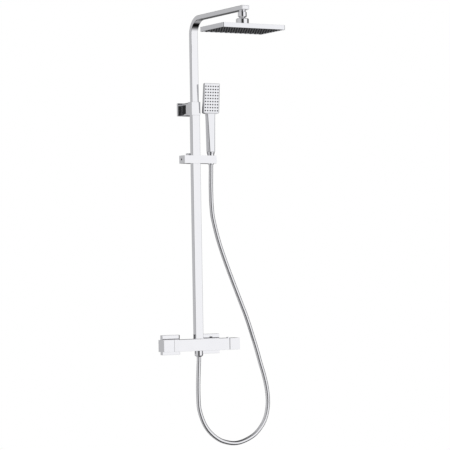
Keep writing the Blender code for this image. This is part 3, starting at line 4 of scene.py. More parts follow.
import bmesh
import bpy
from mathutils import Matrix, Vector
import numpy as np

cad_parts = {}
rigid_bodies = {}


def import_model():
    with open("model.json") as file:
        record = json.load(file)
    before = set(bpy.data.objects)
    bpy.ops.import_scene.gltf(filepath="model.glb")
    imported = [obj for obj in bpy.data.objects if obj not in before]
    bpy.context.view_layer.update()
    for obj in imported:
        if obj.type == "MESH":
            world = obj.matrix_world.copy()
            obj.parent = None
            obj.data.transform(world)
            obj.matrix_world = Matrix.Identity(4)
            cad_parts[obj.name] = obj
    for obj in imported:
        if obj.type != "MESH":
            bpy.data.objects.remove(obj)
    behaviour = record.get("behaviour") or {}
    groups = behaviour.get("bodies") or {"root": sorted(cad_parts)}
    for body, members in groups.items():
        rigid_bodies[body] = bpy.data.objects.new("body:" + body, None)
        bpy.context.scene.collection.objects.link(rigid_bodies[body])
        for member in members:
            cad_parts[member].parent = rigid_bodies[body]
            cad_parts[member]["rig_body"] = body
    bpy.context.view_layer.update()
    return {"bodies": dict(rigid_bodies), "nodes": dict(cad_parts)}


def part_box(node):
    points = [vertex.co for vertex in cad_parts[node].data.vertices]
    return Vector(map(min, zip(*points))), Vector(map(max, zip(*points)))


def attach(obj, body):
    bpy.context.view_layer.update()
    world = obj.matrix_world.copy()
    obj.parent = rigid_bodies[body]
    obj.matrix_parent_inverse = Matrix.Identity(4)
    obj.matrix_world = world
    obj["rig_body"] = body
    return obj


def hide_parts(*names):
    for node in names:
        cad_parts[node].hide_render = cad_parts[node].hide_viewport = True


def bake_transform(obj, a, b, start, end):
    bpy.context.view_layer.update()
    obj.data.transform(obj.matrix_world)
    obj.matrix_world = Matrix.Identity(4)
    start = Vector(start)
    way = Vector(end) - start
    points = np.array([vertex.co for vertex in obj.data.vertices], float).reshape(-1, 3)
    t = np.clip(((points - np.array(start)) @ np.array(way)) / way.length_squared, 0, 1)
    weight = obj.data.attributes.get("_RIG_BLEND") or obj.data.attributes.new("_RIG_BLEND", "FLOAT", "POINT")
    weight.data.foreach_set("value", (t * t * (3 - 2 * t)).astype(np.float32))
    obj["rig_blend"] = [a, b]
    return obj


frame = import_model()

mm = 0.001
scene = bpy.context.scene
print("frame loaded")


# camera: long lens from the left, a little above the valve
viewPoint = {
    "place": (-3.344976, -6.059873, 0.249603),
    "turn": -0.5226339,
    "tilt": 0.0208154,
    "bank": -0.0170895,
    "lens": 166.659,
    "sensor": 36.0,
}


def setCamera():
    turn, tilt, bank = viewPoint["turn"], viewPoint["tilt"], viewPoint["bank"]
    level = Vector((math.cos(turn), math.sin(turn), 0))
    ahead = Vector((
        -math.sin(turn) * math.cos(tilt), math.cos(turn) * math.cos(tilt), math.sin(tilt)
    ))
    upright = level.cross(ahead)
    right = level * math.cos(bank) + upright * math.sin(bank)
    top = upright * math.cos(bank) - level * math.sin(bank)
    data = bpy.data.cameras.new("productCamera")
    data.lens = viewPoint["lens"]
    data.sensor_width = viewPoint["sensor"]
    data.clip_start = 0.05
    data.clip_end = 100
    camera = bpy.data.objects.new("productCamera", data)
    scene.collection.objects.link(camera)
    axes = Matrix((right, top, -ahead)).transposed()
    camera.matrix_world = Matrix.Translation(viewPoint["place"]) @ axes.to_4x4()
    scene.camera = camera


# materials
def toLinear(code):
    values = [int(code[i:i + 2], 16) / 255 for i in (1, 3, 5)]
    return [v / 12.92 if v <= 0.04045 else ((v + 0.055) / 1.055) ** 2.4 for v in values] + [1]


def addNode(tree, kind, settings=None, links=None):
    node = tree.nodes.new(kind)
    for key, value in (settings or {}).items():
        if isinstance(key, int) or key in node.inputs:
            node.inputs[key].default_value = value
        else:
            setattr(node, key, value)
    for key, (source, output) in (links or {}).items():
        tree.links.new(source.outputs[output], node.inputs[key])
    return node


def newMaterial(name):
    material = bpy.data.materials.new(name)
    material.use_nodes = True
    tree = material.node_tree
    shader = tree.nodes["Principled BSDF"]
    place = addNode(tree, "ShaderNodeTexCoord")
    return material, tree, shader, place


def blendColours(tree, factor, first, second):
    mix = addNode(tree, "ShaderNodeMix", {"data_type": "RGBA"})
    tree.links.new(factor, mix.inputs["Factor"])
    mix.inputs[6].default_value = toLinear(first)
    mix.inputs[7].default_value = toLinear(second)
    return mix.outputs[2]


chromeLook = {
    "colour": "#F7F7F9",
    "haze": "#F1F1F4",
    "smooth": 0.025,
    "hazy": 0.075,
    "clouds": 35.0,      # mm across a patch of wiping haze
    "waves": 14.0,       # mm across a polishing wave
    "waveHeight": 0.0008,
    "waveBump": 0.05,
}


def polishedChrome(name, look, stretch=(1, 1, 1)):
    # electroplated over buffed brass: a mirror with faint wiping haze and very long polishing waves
    material, tree, shader, place = newMaterial(name)
    shader.inputs["Metallic"].default_value = 1
    spread = addNode(tree, "ShaderNodeMapping", {"Scale": stretch}, {"Vector": (place, "Object")})
    haze = addNode(
        tree, "ShaderNodeTexNoise",
        {"Scale": 1000 / look["clouds"], "Detail": 4, "Roughness": 0.6},
        {"Vector": (spread, "Vector")},
    )
    colour = blendColours(tree, haze.outputs["Fac"], look["colour"], look["haze"])
    tree.links.new(colour, shader.inputs["Base Color"])
    gloss = addNode(
        tree, "ShaderNodeMapRange",
        {"From Min": 0.35, "From Max": 0.75, "To Min": look["smooth"], "To Max": look["hazy"]},
        {"Value": (haze, "Fac")},
    )
    tree.links.new(gloss.outputs["Result"], shader.inputs["Roughness"])
    waves = addNode(
        tree, "ShaderNodeTexNoise", {"Scale": 1000 / look["waves"], "Detail": 1},
        {"Vector": (spread, "Vector")},
    )
    bump = addNode(
        tree, "ShaderNodeBump", {"Strength": look["waveBump"], "Distance": look["waveHeight"]},
        {"Height": (waves, "Fac")},
    )
    tree.links.new(bump.outputs["Normal"], shader.inputs["Normal"])
    return material


def turnedMetal(name, colour, dark, roughness, pitch):
    # cut on a lathe: fine tool rings break the shine into a soft grain
    material, tree, shader, place = newMaterial(name)
    shader.inputs["Metallic"].default_value = 1
    shader.inputs["Roughness"].default_value = roughness
    rings = addNode(
        tree, "ShaderNodeTexWave",
        {"Scale": 1000 / pitch / 20, "Distortion": 1.5, "Detail": 2, "bands_direction": "DIAGONAL"},
        {"Vector": (place, "Object")},
    )
    stain = addNode(
        tree, "ShaderNodeTexNoise", {"Scale": 120, "Detail": 5}, {"Vector": (place, "Object")}
    )
    tree.links.new(
        blendColours(tree, stain.outputs["Fac"], colour, dark), shader.inputs["Base Color"]
    )
    bump = addNode(
        tree, "ShaderNodeBump", {"Strength": 0.25, "Distance": 0.0001}, {"Height": (rings, "Fac")}
    )
    tree.links.new(bump.outputs["Normal"], shader.inputs["Normal"])
    return material


def mouldedPlastic(name, colour, second, roughness, grain):
    # moulded: a fine spark grain from the tool and a little unevenness in the colour
    material, tree, shader, place = newMaterial(name)
    shader.inputs["Roughness"].default_value = roughness
    cloud = addNode(
        tree, "ShaderNodeTexNoise", {"Scale": 90, "Detail": 3}, {"Vector": (place, "Object")}
    )
    tree.links.new(
        blendColours(tree, cloud.outputs["Fac"], colour, second), shader.inputs["Base Color"]
    )
    spark = addNode(
        tree, "ShaderNodeTexNoise", {"Scale": 1000 / grain, "Detail": 2},
        {"Vector": (place, "Object")},
    )
    bump = addNode(
        tree, "ShaderNodeBump", {"Strength": 0.2, "Distance": 0.00008}, {"Height": (spark, "Fac")}
    )
    tree.links.new(bump.outputs["Normal"], shader.inputs["Normal"])
    return material


def makeFinishes():
    plated = dict(chromeLook, waves=9.0, waveHeight=0.0011, colour="#F2F3F6")
    strip = dict(chromeLook, smooth=0.09, hazy=0.2, clouds=12.0, colour="#F3F3F5")
    drawn = dict(chromeLook, waves=20.0)
    return {
        "chrome": polishedChrome("polishedChromeOnBrass", chromeLook),
        "tube": polishedChrome("drawnTubeChrome", drawn, (1, 1, 0.15)),
        "plated": polishedChrome("platedMouldedAbs", plated),
        "strip": polishedChrome("woundChromedStrip", strip),
        "brass": turnedMetal("turnedBrass", "#D9B36A", "#B98E4A", 0.3, 0.4),
        "steel": turnedMetal("drawnStainlessSteel", "#C9C9CB", "#AFAFB2", 0.28, 0.5),
        "blackened": turnedMetal("blackenedSetScrewSteel", "#3A3A3D", "#242427", 0.35, 0.4),
        "rubber": mouldedPlastic("mouldedBlackRubber", "#1B1B1C", "#26262A", 0.7, 0.5),
        "silicone": mouldedPlastic("mouldedDarkSilicone", "#26262A", "#303036", 0.5, 0.4),
        "acetal": mouldedPlastic("mouldedWhiteAcetal", "#E6E5E1", "#D9D8D3", 0.42, 0.4),
    }


# working with pieces
def letGo():
    if bpy.context.mode != "OBJECT":
        bpy.ops.object.mode_set(mode="OBJECT")
    bpy.ops.object.select_all(action="DESELECT")


def take(piece):
    letGo()
    piece.select_set(True)
    bpy.context.view_layer.objects.active = piece


def settle(piece):
    take(piece)
    bpy.ops.object.transform_apply(location=True, rotation=True, scale=True)


def startBlock(name, low, high):
    low, high = Vector(low), Vector(high)
    letGo()
    bpy.ops.mesh.primitive_cube_add(size=1, location=(low + high) / 2, scale=high - low)
    piece = bpy.context.object
    piece.name = name
    piece.data.name = name
    settle(piece)
    return piece


def startDrum(name, radius, length, centre, axis="Z", sides=48, endRadius=None):
    letGo()
    turn = {"X": (0, math.pi / 2, 0), "Y": (math.pi / 2, 0, 0), "Z": (0, 0, 0)}[axis]
    end = radius if endRadius is None else endRadius
    bpy.ops.mesh.primitive_cone_add(
        vertices=sides, radius1=radius, radius2=end, depth=length, location=centre, rotation=turn
    )
    piece = bpy.context.object
    piece.name = name
    piece.data.name = name
    settle(piece)
    return piece


def startSection(name, width, depth, corner, steps, place):
    # a flat rounded rectangle, ready to be drawn out
    letGo()
    bpy.ops.mesh.primitive_plane_add(size=1, location=place)
    piece = bpy.context.object
    piece.name = name
    piece.data.name = name
    piece.scale = (width, depth, 1)
    settle(piece)
    bpy.ops.object.mode_set(mode="EDIT")
    bpy.ops.mesh.select_all(action="SELECT")
    bpy.ops.mesh.bevel(offset=corner, segments=steps, affect="VERTICES")
    bpy.ops.mesh.select_all(action="SELECT")
    return piece


def pickFaces(piece, test):
    take(piece)
    bpy.ops.object.mode_set(mode="EDIT")
    bpy.ops.mesh.select_mode(type="FACE")
    bpy.ops.mesh.select_all(action="DESELECT")
    shape = bmesh.from_edit_mesh(piece.data)
    for face in shape.faces:
        face.select_set(test(face.calc_center_median(), face.normal))
    bmesh.update_edit_mesh(piece.data)


def facing(direction, limit=0.99):
    way = Vector(direction)
    return lambda centre, normal: normal.dot(way) > limit


def drawOut(step):
    bpy.ops.mesh.extrude_region_move(TRANSFORM_OT_translate={"value": step})


def cleanUp(piece):
    take(piece)
    bpy.ops.object.mode_set(mode="EDIT")
    bpy.ops.mesh.select_all(action="SELECT")
    bpy.ops.mesh.remove_doubles(threshold=0.000002)
    bpy.ops.mesh.normals_make_consistent(inside=False)
    bpy.ops.object.mode_set(mode="OBJECT")


def applyLast(piece, modifier):
    take(piece)
    bpy.ops.object.modifier_apply(modifier=modifier.name)


def carve(piece, cutter, operation="DIFFERENCE"):
    change = piece.modifiers.new("carve", "BOOLEAN")
    change.operation = operation
    change.solver = "EXACT"
    change.object = cutter
    applyLast(piece, change)
    bpy.data.objects.remove(cutter, do_unlink=True)


def roundEdges(piece, width, segments=3, angle=30):
    edges = piece.modifiers.new("edges", "BEVEL")
    edges.width = width
    edges.segments = segments
    edges.limit_method = "ANGLE"
    edges.angle_limit = math.radians(angle)
    edges.use_clamp_overlap = True
    applyLast(piece, edges)


def polish(piece, angle=34, flats=True):
    # flat faces stay flat in the mirror, and only the broken edges roll over
    take(piece)
    bpy.ops.object.shade_smooth_by_angle(angle=math.radians(angle))
    if flats:
        even = piece.modifiers.new("even", "WEIGHTED_NORMAL")
        even.weight = 100
        even.keep_sharp = True
        applyLast(piece, even)


def turnPiece(name, profile, centre, axis="Z", sides=64, hollow=True, edge=0.25 * mm):
    # rings drawn out of a circle one after another, as on a lathe
    letGo()
    radius, height = profile[0]
    bpy.ops.mesh.primitive_circle_add(
        vertices=sides, radius=radius, fill_type="NOTHING" if hollow else "NGON",
        location=(0, 0, height),
    )
    piece = bpy.context.object
    piece.name = name
    piece.data.name = name
    settle(piece)
    bpy.ops.object.mode_set(mode="EDIT")
    bpy.ops.mesh.select_mode(type="VERT")
    bpy.ops.mesh.select_all(action="SELECT")
    for nextRadius, nextHeight in profile[1:]:
        drawOut((0, 0, nextHeight - height))
        share = nextRadius / radius
        bpy.ops.transform.resize(value=(share, share, 1), center_override=(0, 0, nextHeight))
        radius, height = nextRadius, nextHeight
    if hollow:
        bpy.ops.mesh.select_mode(type="EDGE")
        bpy.ops.mesh.select_all(action="DESELECT")
        bpy.ops.mesh.select_non_manifold(extend=False)
        bpy.ops.mesh.bridge_edge_loops()
    letGo()
    cleanUp(piece)
    piece.rotation_euler = {"X": (0, math.pi / 2, 0), "Y": (-math.pi / 2, 0, 0), "Z": (0, 0, 0)}[axis]
    piece.location = centre
    settle(piece)
    if edge:
        roundEdges(piece, edge, 2)
    polish(piece, 32)
    return piece


def finishPiece(piece, body, finish, nodes=()):
    piece.data.materials.clear()
    piece.data.materials.append(finish)
    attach(piece, body)
    if nodes:
        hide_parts(*nodes)
    return piece


def finishCasting(piece, edge, body, finish, nodes):
    # the sharp edges of a casting are broken before it is buffed and plated
    cleanUp(piece)
    roundEdges(piece, edge * mm, 3, 40)
    polish(piece)
    finishPiece(piece, body, finish, nodes)


def bodyOf(node):
    return frame["nodes"][node]["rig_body"]


def middleOf(node):
    low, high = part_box(node)
    return (low + high) / 2


# hose: wound strip over a flexible core, hanging in one long loop
hoseLook = {
    "diameter": 14.4,
    "pitch": 4.2,        # mm from one turn of the strip to the next
    "groove": 0.38,      # mm deep between the turns
    "ringStep": 0.6,     # mm between the rings of the mesh
    "sides": 20,
}
hoseRoute = [
    (0.0493, -0.0810, 0.6301),
    (0.0493, -0.0810, 0.5850), (0.0490, -0.0810, 0.5660), (0.0482, -0.0805, 0.5272),
    (0.0487, -0.0800, 0.4876), (0.0495, -0.0797, 0.4612), (0.0525, -0.0793, 0.4282),
    (0.0568, -0.0791, 0.4067), (0.0665, -0.0787, 0.3687), (0.0789, -0.0783, 0.3289),
    (0.0937, -0.0778, 0.2890), (0.1096, -0.0774, 0.2490), (0.1263, -0.0769, 0.2090),
    (0.1434, -0.0765, 0.1688), (0.1606, -0.0760, 0.1285), (0.1778, -0.0756, 0.0882),
    (0.1961, -0.0750, 0.0377), (0.2163, -0.0744, -0.0217), (0.2304, -0.0739, -0.0683),
    (0.2431, -0.0735, -0.1072), (0.2538, -0.0730, -0.1511), (0.2580, -0.0726, -0.1898),
    (0.2568, -0.0723, -0.2151), (0.2501, -0.0720, -0.2456), (0.2365, -0.0717, -0.2729),
    (0.2124, -0.0713, -0.2997), (0.1855, -0.0710, -0.3162), (0.1500, -0.0707, -0.3282),
    (0.1179, -0.0704, -0.3297), (0.0800, -0.0700, -0.3203), (0.0516, -0.0697, -0.3036),
    (0.0291, -0.0694, -0.2823), (0.0124, -0.0691, -0.2565), (0.0014, -0.0688, -0.2284),
    (-0.0043, -0.0685, -0.2028), (-0.0057, -0.0681, -0.1650), (-0.0051, -0.0677, -0.1276),
    (-0.0022, -0.0668, -0.0780), (-0.0004, -0.0668, -0.0480), (0.0, -0.0668, -0.0295),
]


def smoothLine(points, spacing):
    points = [Vector(p) for p in points]
    ends = [points[0] * 2 - points[1]] + points + [points[-1] * 2 - points[-2]]
    dense = []
    for a, b, c, d in zip(ends, ends[1:], ends[2:], ends[3:]):
        for step in range(48):
            t = step / 48
            dense.append(0.5 * (
                2 * b + (c - a) * t + (2 * a - 5 * b + 4 * c - d) * t * t
                + (3 * b - a - 3 * c + d) * t * t * t
            ))
    dense.append(points[-1])
    length = sum((b - a).length for a, b in zip(dense, dense[1:]))
    count = round(length / spacing)
    step = length / count
    even, walked = [dense[0]], 0.0
    for a, b in zip(dense, dense[1:]):
        part = (b - a).length
        while walked + part >= step * len(even) and len(even) < count:
            even.append(a.lerp(b, (step * len(even) - walked) / part))
        walked += part
    even.append(dense[-1])
    return even, length


def stripRadius(turns):
    # each turn is a crowned band with a narrow valley beside it
    share = turns % 1.0
    valley = max(0.0, 1 - abs(share - 0.5) / 0.16)
    crown = 0.10 * math.cos(2 * math.pi * share)
    return hoseLook["diameter"] / 2 * mm - (hoseLook["groove"] * valley + 0.10 - crown) * mm * 0.5


def buildHose(finish):
    line, length = smoothLine(hoseRoute, hoseLook["ringStep"] * mm)
    sides = hoseLook["sides"]
    step = length / (len(line) - 1)
    shape = bmesh.new()
    across = Vector((1, 0, 0))
    rings = []
    for index, point in enumerate(line):
        ahead = (line[min(index + 1, len(line) - 1)] - line[max(index - 1, 0)]).normalized()
        across = (across - ahead * across.dot(ahead)).normalized()
        other = ahead.cross(across)
        ring = []
        for side in range(sides):
            angle = 2 * math.pi * side / sides
            radius = stripRadius(index * step / (hoseLook["pitch"] * mm) - side / sides)
            ring.append(shape.verts.new(
                point + (across * math.cos(angle) + other * math.sin(angle)) * radius
            ))
        rings.append(ring)
    for lower, upper in zip(rings, rings[1:]):
        for side in range(sides):
            nextSide = (side + 1) % sides
            shape.faces.new((lower[side], lower[nextSide], upper[nextSide], upper[side]))
    shape.faces.new(rings[0])
    shape.faces.new(rings[-1])
    bmesh.ops.recalc_face_normals(shape, faces=shape.faces[:])
    mesh = bpy.data.meshes.new("showerHoseWound")
    shape.to_mesh(mesh)
    shape.free()
    for face in mesh.polygons:
        face.use_smooth = True
    hose = bpy.data.objects.new("showerHoseWound", mesh)
    scene.collection.objects.link(hose)
    mesh.materials.append(finish)
    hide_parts("shower_hose")
    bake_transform(hose, "root" if "column" not in frame["bodies"] else "column", "slider",
             start=(0, 0, -0.33), end=(0, 0, 0.58))
    # the hose gives between its lowest point and the holder, and stays still at the valve
    lowest = min(range(len(line)), key=lambda i: line[i].z)
    weights = []
    for index in range(len(line)):
        walked = index / lowest
        share = min(1.0, max(0.0, (1 - walked - 0.02) / 0.9))
        weights += [share * share * (3 - 2 * share)] * sides
    mesh.attributes["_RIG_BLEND"].data.foreach_set("value", weights)
    print("hose wound,", round(length, 3), "m")
    return hose


# thermostatic bar valve
valveLook = {
    "edge": 0.3, "handleWall": 2.8, "buttonEdge": 0.5, "shadowGap": 1.0, "closeGap": 0.15,
    "stubWall": 0.6, "stubRoot": 4.0, "inletBore": 7.5, "inletDepth": 14.0, "fit": 0.4,
    "socketFit": 0.3, "buttonRim": 0.9, "buttonDish": 0.25, "hubRadius": 8.0, "hubStart": 6.0,
}


def buildValve(finishes):
    low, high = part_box("valve_body")
    cartridgeLow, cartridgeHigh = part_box("thermostatic_cartridge")
    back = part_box("temperature_handle")[1].y
    body = startBlock("valveBodyCast", (low.x, low.y, low.z), (high.x, back, high.z))
    filterLow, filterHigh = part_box("inlet_filter_left")
    stubRadius = (filterHigh.x - filterLow.x) / 2 + valveLook["stubWall"] * mm
    root, depth = valveLook["stubRoot"] * mm, valveLook["inletDepth"] * mm
    axis = (cartridgeLow + cartridgeHigh) / 2
    for node in ("inlet_filter_left", "inlet_filter_right"):
        x = middleOf(node).x
        stub = startDrum("stub", stubRadius, high.y - back + root,
                         (x, (high.y + back - root) / 2, axis.z), "Y")
        carve(body, stub, "UNION")
        bore = startDrum("bore", valveLook["inletBore"] * mm, depth,
                         (x, high.y - 5 * mm, axis.z), "Y")
        carve(body, bore)
    bore = (cartridgeHigh.z - cartridgeLow.z) / 2 + valveLook["fit"] * mm
    for side in (-1, 1):
        x = side * ((cartridgeLow.x + high.x) / 2 + 1 * mm)
        hole = startDrum("hole", bore, high.x - cartridgeLow.x + 3 * mm, (x, axis.y, axis.z), "X")
        carve(body, hole)
    for node in ("riser_nipple", "outlet_nipple"):
        nodeLow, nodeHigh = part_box(node)
        end = high.z if nodeHigh.z > 0 and nodeHigh.z > high.z else low.z
        inner = nodeLow.z - 0.5 * mm if end == high.z else nodeHigh.z + 0.5 * mm
        middle = (nodeLow + nodeHigh) / 2
        radius = (nodeHigh.x - nodeLow.x) / 2 + valveLook["socketFit"] * mm
        reach = abs(end - inner) + 2 * mm
        centreZ = inner + reach / 2 if end == high.z else inner - reach / 2
        carve(body, startDrum("socket", radius, reach, (middle.x, middle.y, centreZ)))
    finishCasting(body, valveLook["edge"], bodyOf("valve_body"), finishes["chrome"], ["valve_body"])
    for node, side in (("flow_handle", -1), ("temperature_handle", 1)):
        buildHandle(node, side, finishes)
    print("valve done")


def buildHandle(node, side, finishes):
    low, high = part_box(node)
    if side > 0:
        low.x += valveLook["shadowGap"] * mm
    else:
        high.x += valveLook["closeGap"] * mm
    handle = startBlock(node.replace("_h", "H") + "Cap", low, high)
    pickFaces(handle, facing((-side, 0, 0)))
    wall = valveLook["handleWall"] * mm
    bpy.ops.mesh.inset(thickness=wall, depth=0)
    drawOut((side * (high.x - low.x - wall), 0, 0))
    letGo()
    if side > 0:
        buttonLow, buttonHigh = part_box("temperature_stop_button")
        play = valveLook["fit"] * mm
        slot = startBlock(
            "slot", (buttonLow.x - play, buttonLow.y - play, buttonLow.z - 2 * mm),
            (buttonHigh.x + play, buttonHigh.y + play, high.z + 2 * mm),
        )
        carve(handle, slot)
        button = startBlock("stopButtonCap", buttonLow, buttonHigh)
        pickFaces(button, facing((0, 0, 1)))
        bpy.ops.mesh.inset(thickness=valveLook["buttonRim"] * mm, depth=0)
        drawOut((0, 0, -valveLook["buttonDish"] * mm))
        letGo()
        roundEdges(button, valveLook["buttonEdge"] * mm, 2)
        polish(button)
        finishPiece(
            button, bodyOf("temperature_stop_button"), finishes["chrome"],
            ["temperature_stop_button"],
        )
    finishCasting(handle, valveLook["edge"], bodyOf(node), finishes["chrome"], [node])
    # the hub inside, which grips the splined spindle
    spindle = "diverter_spindle" if side < 0 else "temperature_spindle"
    spindleLow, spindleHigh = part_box(spindle)
    axis = (spindleLow + spindleHigh) / 2
    inner = min(abs(low.x), abs(high.x)) + valveLook["hubStart"] * mm
    outer = max(abs(low.x), abs(high.x)) - wall - 0.1 * mm
    tip = max(abs(spindleLow.x), abs(spindleHigh.x)) + 0.3 * mm
    bore = (spindleHigh.z - spindleLow.z) / 2 + 0.3 * mm
    wide = valveLook["hubRadius"] * mm
    profile = [(bore, inner), (wide, inner), (wide, outer), (bore * 0.5, outer),
               (bore * 0.5, tip), (bore, tip)]
    profile = [(radius, side * along) for radius, along in profile]
    hub = turnPiece(node.replace("_h", "H") + "Hub", profile, (0, axis.y, axis.z), "X", 32)
    finishPiece(hub, bodyOf(node), finishes["brass"])


# wall unions and their square roses
roseLook = {
    "wall": 2.0, "edge": 0.5, "nutEdge": 0.6, "hexTurn": 30.0, "hole": 12.4, "nutBore": 13.5,
    "tailHole": 12.3, "nutLip": 4.6,
}


def hollowBlock(name, low, high, wall, openSide):
    # a pressed cover, open towards the wall
    piece = startBlock(name, low, high)
    pickFaces(piece, facing(openSide))
    bpy.ops.mesh.inset(thickness=wall, depth=0)
    depth = abs((high - low).dot(Vector(openSide))) - wall
    drawOut(Vector(openSide) * -depth)
    letGo()
    return piece


def buildRoses(finishes):
    for tag in ("left", "right"):
        low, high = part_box("inlet_rose_" + tag)
        rose = hollowBlock("inletRoseCover_" + tag, low, high, roseLook["wall"] * mm, (0, 1, 0))
        middle = (low + high) / 2
        carve(rose, startDrum("hole", roseLook["hole"] * mm, 8 * mm,
                              (middle.x, low.y, middle.z), "Y"))
        finishCasting(rose, roseLook["edge"], "column", finishes["chrome"], ["inlet_rose_" + tag])
        low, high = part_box("union_nut_" + tag)
        centre = (low + high) / 2
        nut = startDrum("unionNutHex_" + tag, (high.x - low.x) / 2, high.y - low.y,
                        (0, 0, 0), "Z", 6)
        nut.matrix_world = (
            Matrix.Translation(centre) @ Matrix.Rotation(math.radians(90), 4, "X")
            @ Matrix.Rotation(math.radians(roseLook["hexTurn"]), 4, "Z")
        )
        settle(nut)
        deep = high.y - low.y - roseLook["nutLip"] * mm
        carve(nut, startDrum("bore", roseLook["nutBore"] * mm, deep,
                             (middle.x, low.y + deep / 2 - 0.05 * mm, middle.z), "Y"))
        carve(nut, startDrum("bore", roseLook["tailHole"] * mm, 20 * mm,
                             (middle.x, high.y, middle.z), "Y"))
        finishCasting(nut, roseLook["nutEdge"], "column", finishes["chrome"], ["union_nut_" + tag])
    print("roses done")


# telescopic riser and its arm
riserLook = {
    "wall": 1.2, "corner": 2.2, "cornerSteps": 6, "bendSteps": 32, "bendRadius": 53.0,
    "outletHole": 6.3, "footEdge": 0.25, "topEdge": 0.2, "capEdge": 0.5, "capRim": 1.4,
    "capDish": 0.25,
}


def hollowOut(piece, wall):
    shell = piece.modifiers.new("wall", "SOLIDIFY")
    shell.thickness = wall
    shell.offset = -1
    shell.use_even_offset = True
    applyLast(piece, shell)


def buildLowerTube(finishes):
    low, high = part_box("riser_lower_tube")
    middle = (low + high) / 2
    tube = startSection("riserOuterTube", high.x - low.x, high.y - low.y,
                        riserLook["corner"] * mm, riserLook["cornerSteps"],
                        (middle.x, middle.y, low.z))
    drawOut((0, 0, high.z - low.z))
    letGo()
    cleanUp(tube)
    pickFaces(tube, lambda centre, normal: abs(normal.z) > 0.9)
    bpy.ops.mesh.delete(type="FACE")
    letGo()
    hollowOut(tube, riserLook["wall"] * mm)
    cleanUp(tube)
    roundEdges(tube, riserLook["footEdge"] * mm, 2, 60)
    polish(tube, 40)
    finishPiece(tube, "column", finishes["tube"], ["riser_lower_tube"])


def buildUpperTube(finishes):
    low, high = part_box("riser_upper_tube_and_arm")
    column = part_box("riser_lower_tube")
    columnY = (column[0].y + column[1].y) / 2
    depth = 2 * (high.y - columnY)
    radius = riserLook["bendRadius"] * mm
    bendZ = high.z - depth / 2 - radius
    tube = startSection("riserInnerTubeAndArm", high.x - low.x, depth,
                        riserLook["corner"] * mm, riserLook["cornerSteps"],
                        ((low.x + high.x) / 2, columnY, low.z))
    drawOut((0, 0, bendZ - low.z))
    bpy.ops.mesh.spin(
        steps=riserLook["bendSteps"], angle=-math.pi / 2, use_normal_flip=False,
        center=(0, columnY - radius, bendZ), axis=(1, 0, 0),
    )
    drawOut((0, low.y - (columnY - radius), 0))
    letGo()
    cleanUp(tube)
    footZ, endY = low.z, low.y
    pickFaces(tube, lambda c, n: (abs(n.z) > 0.9 and c.z < footZ + 0.1 * mm)
              or (abs(n.y) > 0.9 and c.y < endY + 0.1 * mm))
    bpy.ops.mesh.delete(type="FACE")
    letGo()
    hollowOut(tube, riserLook["wall"] * mm)
    cleanUp(tube)
    nippleLow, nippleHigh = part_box("arm_outlet_nipple")
    middle = (nippleLow + nippleHigh) / 2
    carve(tube, startDrum("outlet", riserLook["outletHole"] * mm, 8 * mm,
                          (middle.x, middle.y, high.z - depth)))
    cleanUp(tube)
    roundEdges(tube, riserLook["topEdge"] * mm, 2, 60)
    polish(tube, 40)
    body = bodyOf("riser_upper_tube_and_arm")
    finishPiece(tube, body, finishes["tube"], ["riser_upper_tube_and_arm"])
    capLow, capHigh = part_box("arm_end_cap")
    cap = startBlock("armEndCapPolished", capLow, capHigh)
    pickFaces(cap, facing((0, -1, 0)))
    bpy.ops.mesh.inset(thickness=riserLook["capRim"] * mm, depth=0)
    drawOut((0, riserLook["capDish"] * mm, 0))
    letGo()
    roundEdges(cap, riserLook["capEdge"] * mm, 3, 30)
    polish(cap)
    finishPiece(cap, body, finishes["chrome"], ["arm_end_cap"])
    print("riser done")


# wall bracket
bracketLook = {
    "edge": 0.6, "wall": 1.8, "neckCorner": 9.0, "tubeGap": 0.3, "slideGap": 0.4, "tieHole": 3.3,
}


def buildBracket(finishes):
    low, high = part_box("bracket_collar")
    tubeLow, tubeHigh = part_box("riser_lower_tube")
    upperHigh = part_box("riser_upper_tube_and_arm")[1]
    tie = bracketLook["tieHole"] * mm
    collar = startBlock("tubeCollarCast", low, high)
    gap, slideGap = bracketLook["tubeGap"] * mm, bracketLook["slideGap"] * mm
    wide = tubeHigh.x + gap
    carve(collar, startBlock("cut", (-wide, tubeLow.y - gap, low.z - mm),
                             (wide, tubeHigh.y + gap, tubeHigh.z + gap)))
    wide = upperHigh.x + slideGap
    deep = upperHigh.y + slideGap
    front = tubeLow.y + tubeHigh.y - deep
    carve(collar, startBlock("cut", (-wide, front, tubeHigh.z), (wide, deep, high.z + mm)))
    neckZ = middleOf("bracket_neck").z
    carve(collar, startDrum("tie", tie, 9 * mm, (0, high.y, neckZ), "Y", 24))
    finishCasting(collar, bracketLook["edge"], "column", finishes["chrome"], ["bracket_collar"])
    low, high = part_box("bracket_neck")
    quarter = Matrix.Rotation(math.radians(90), 4, "X")
    neck = startSection("bracketNeckCast", high.x - low.x, high.z - low.z,
                        bracketLook["neckCorner"] * mm, 10, (0, 0, 0))
    drawOut((0, 0, high.y - low.y))
    letGo()
    cleanUp(neck)
    neck.matrix_world = Matrix.Translation((0, high.y, (low.z + high.z) / 2)) @ quarter
    settle(neck)
    carve(neck, startDrum("tie", tie, (high.y - low.y) * 1.2, (low + high) / 2, "Y", 24))
    finishCasting(neck, bracketLook["edge"], "column", finishes["chrome"], ["bracket_neck"])
    low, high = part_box("bracket_rose")
    rose = hollowBlock("bracketRoseCover", low, high, bracketLook["wall"] * mm, (0, 1, 0))
    middle = (low + high) / 2
    carve(rose, startDrum("tie", tie, 6 * mm, (0, low.y, middle.z), "Y", 24))
    finishCasting(rose, bracketLook["edge"], "column", finishes["chrome"], ["bracket_rose"])
    print("bracket done")


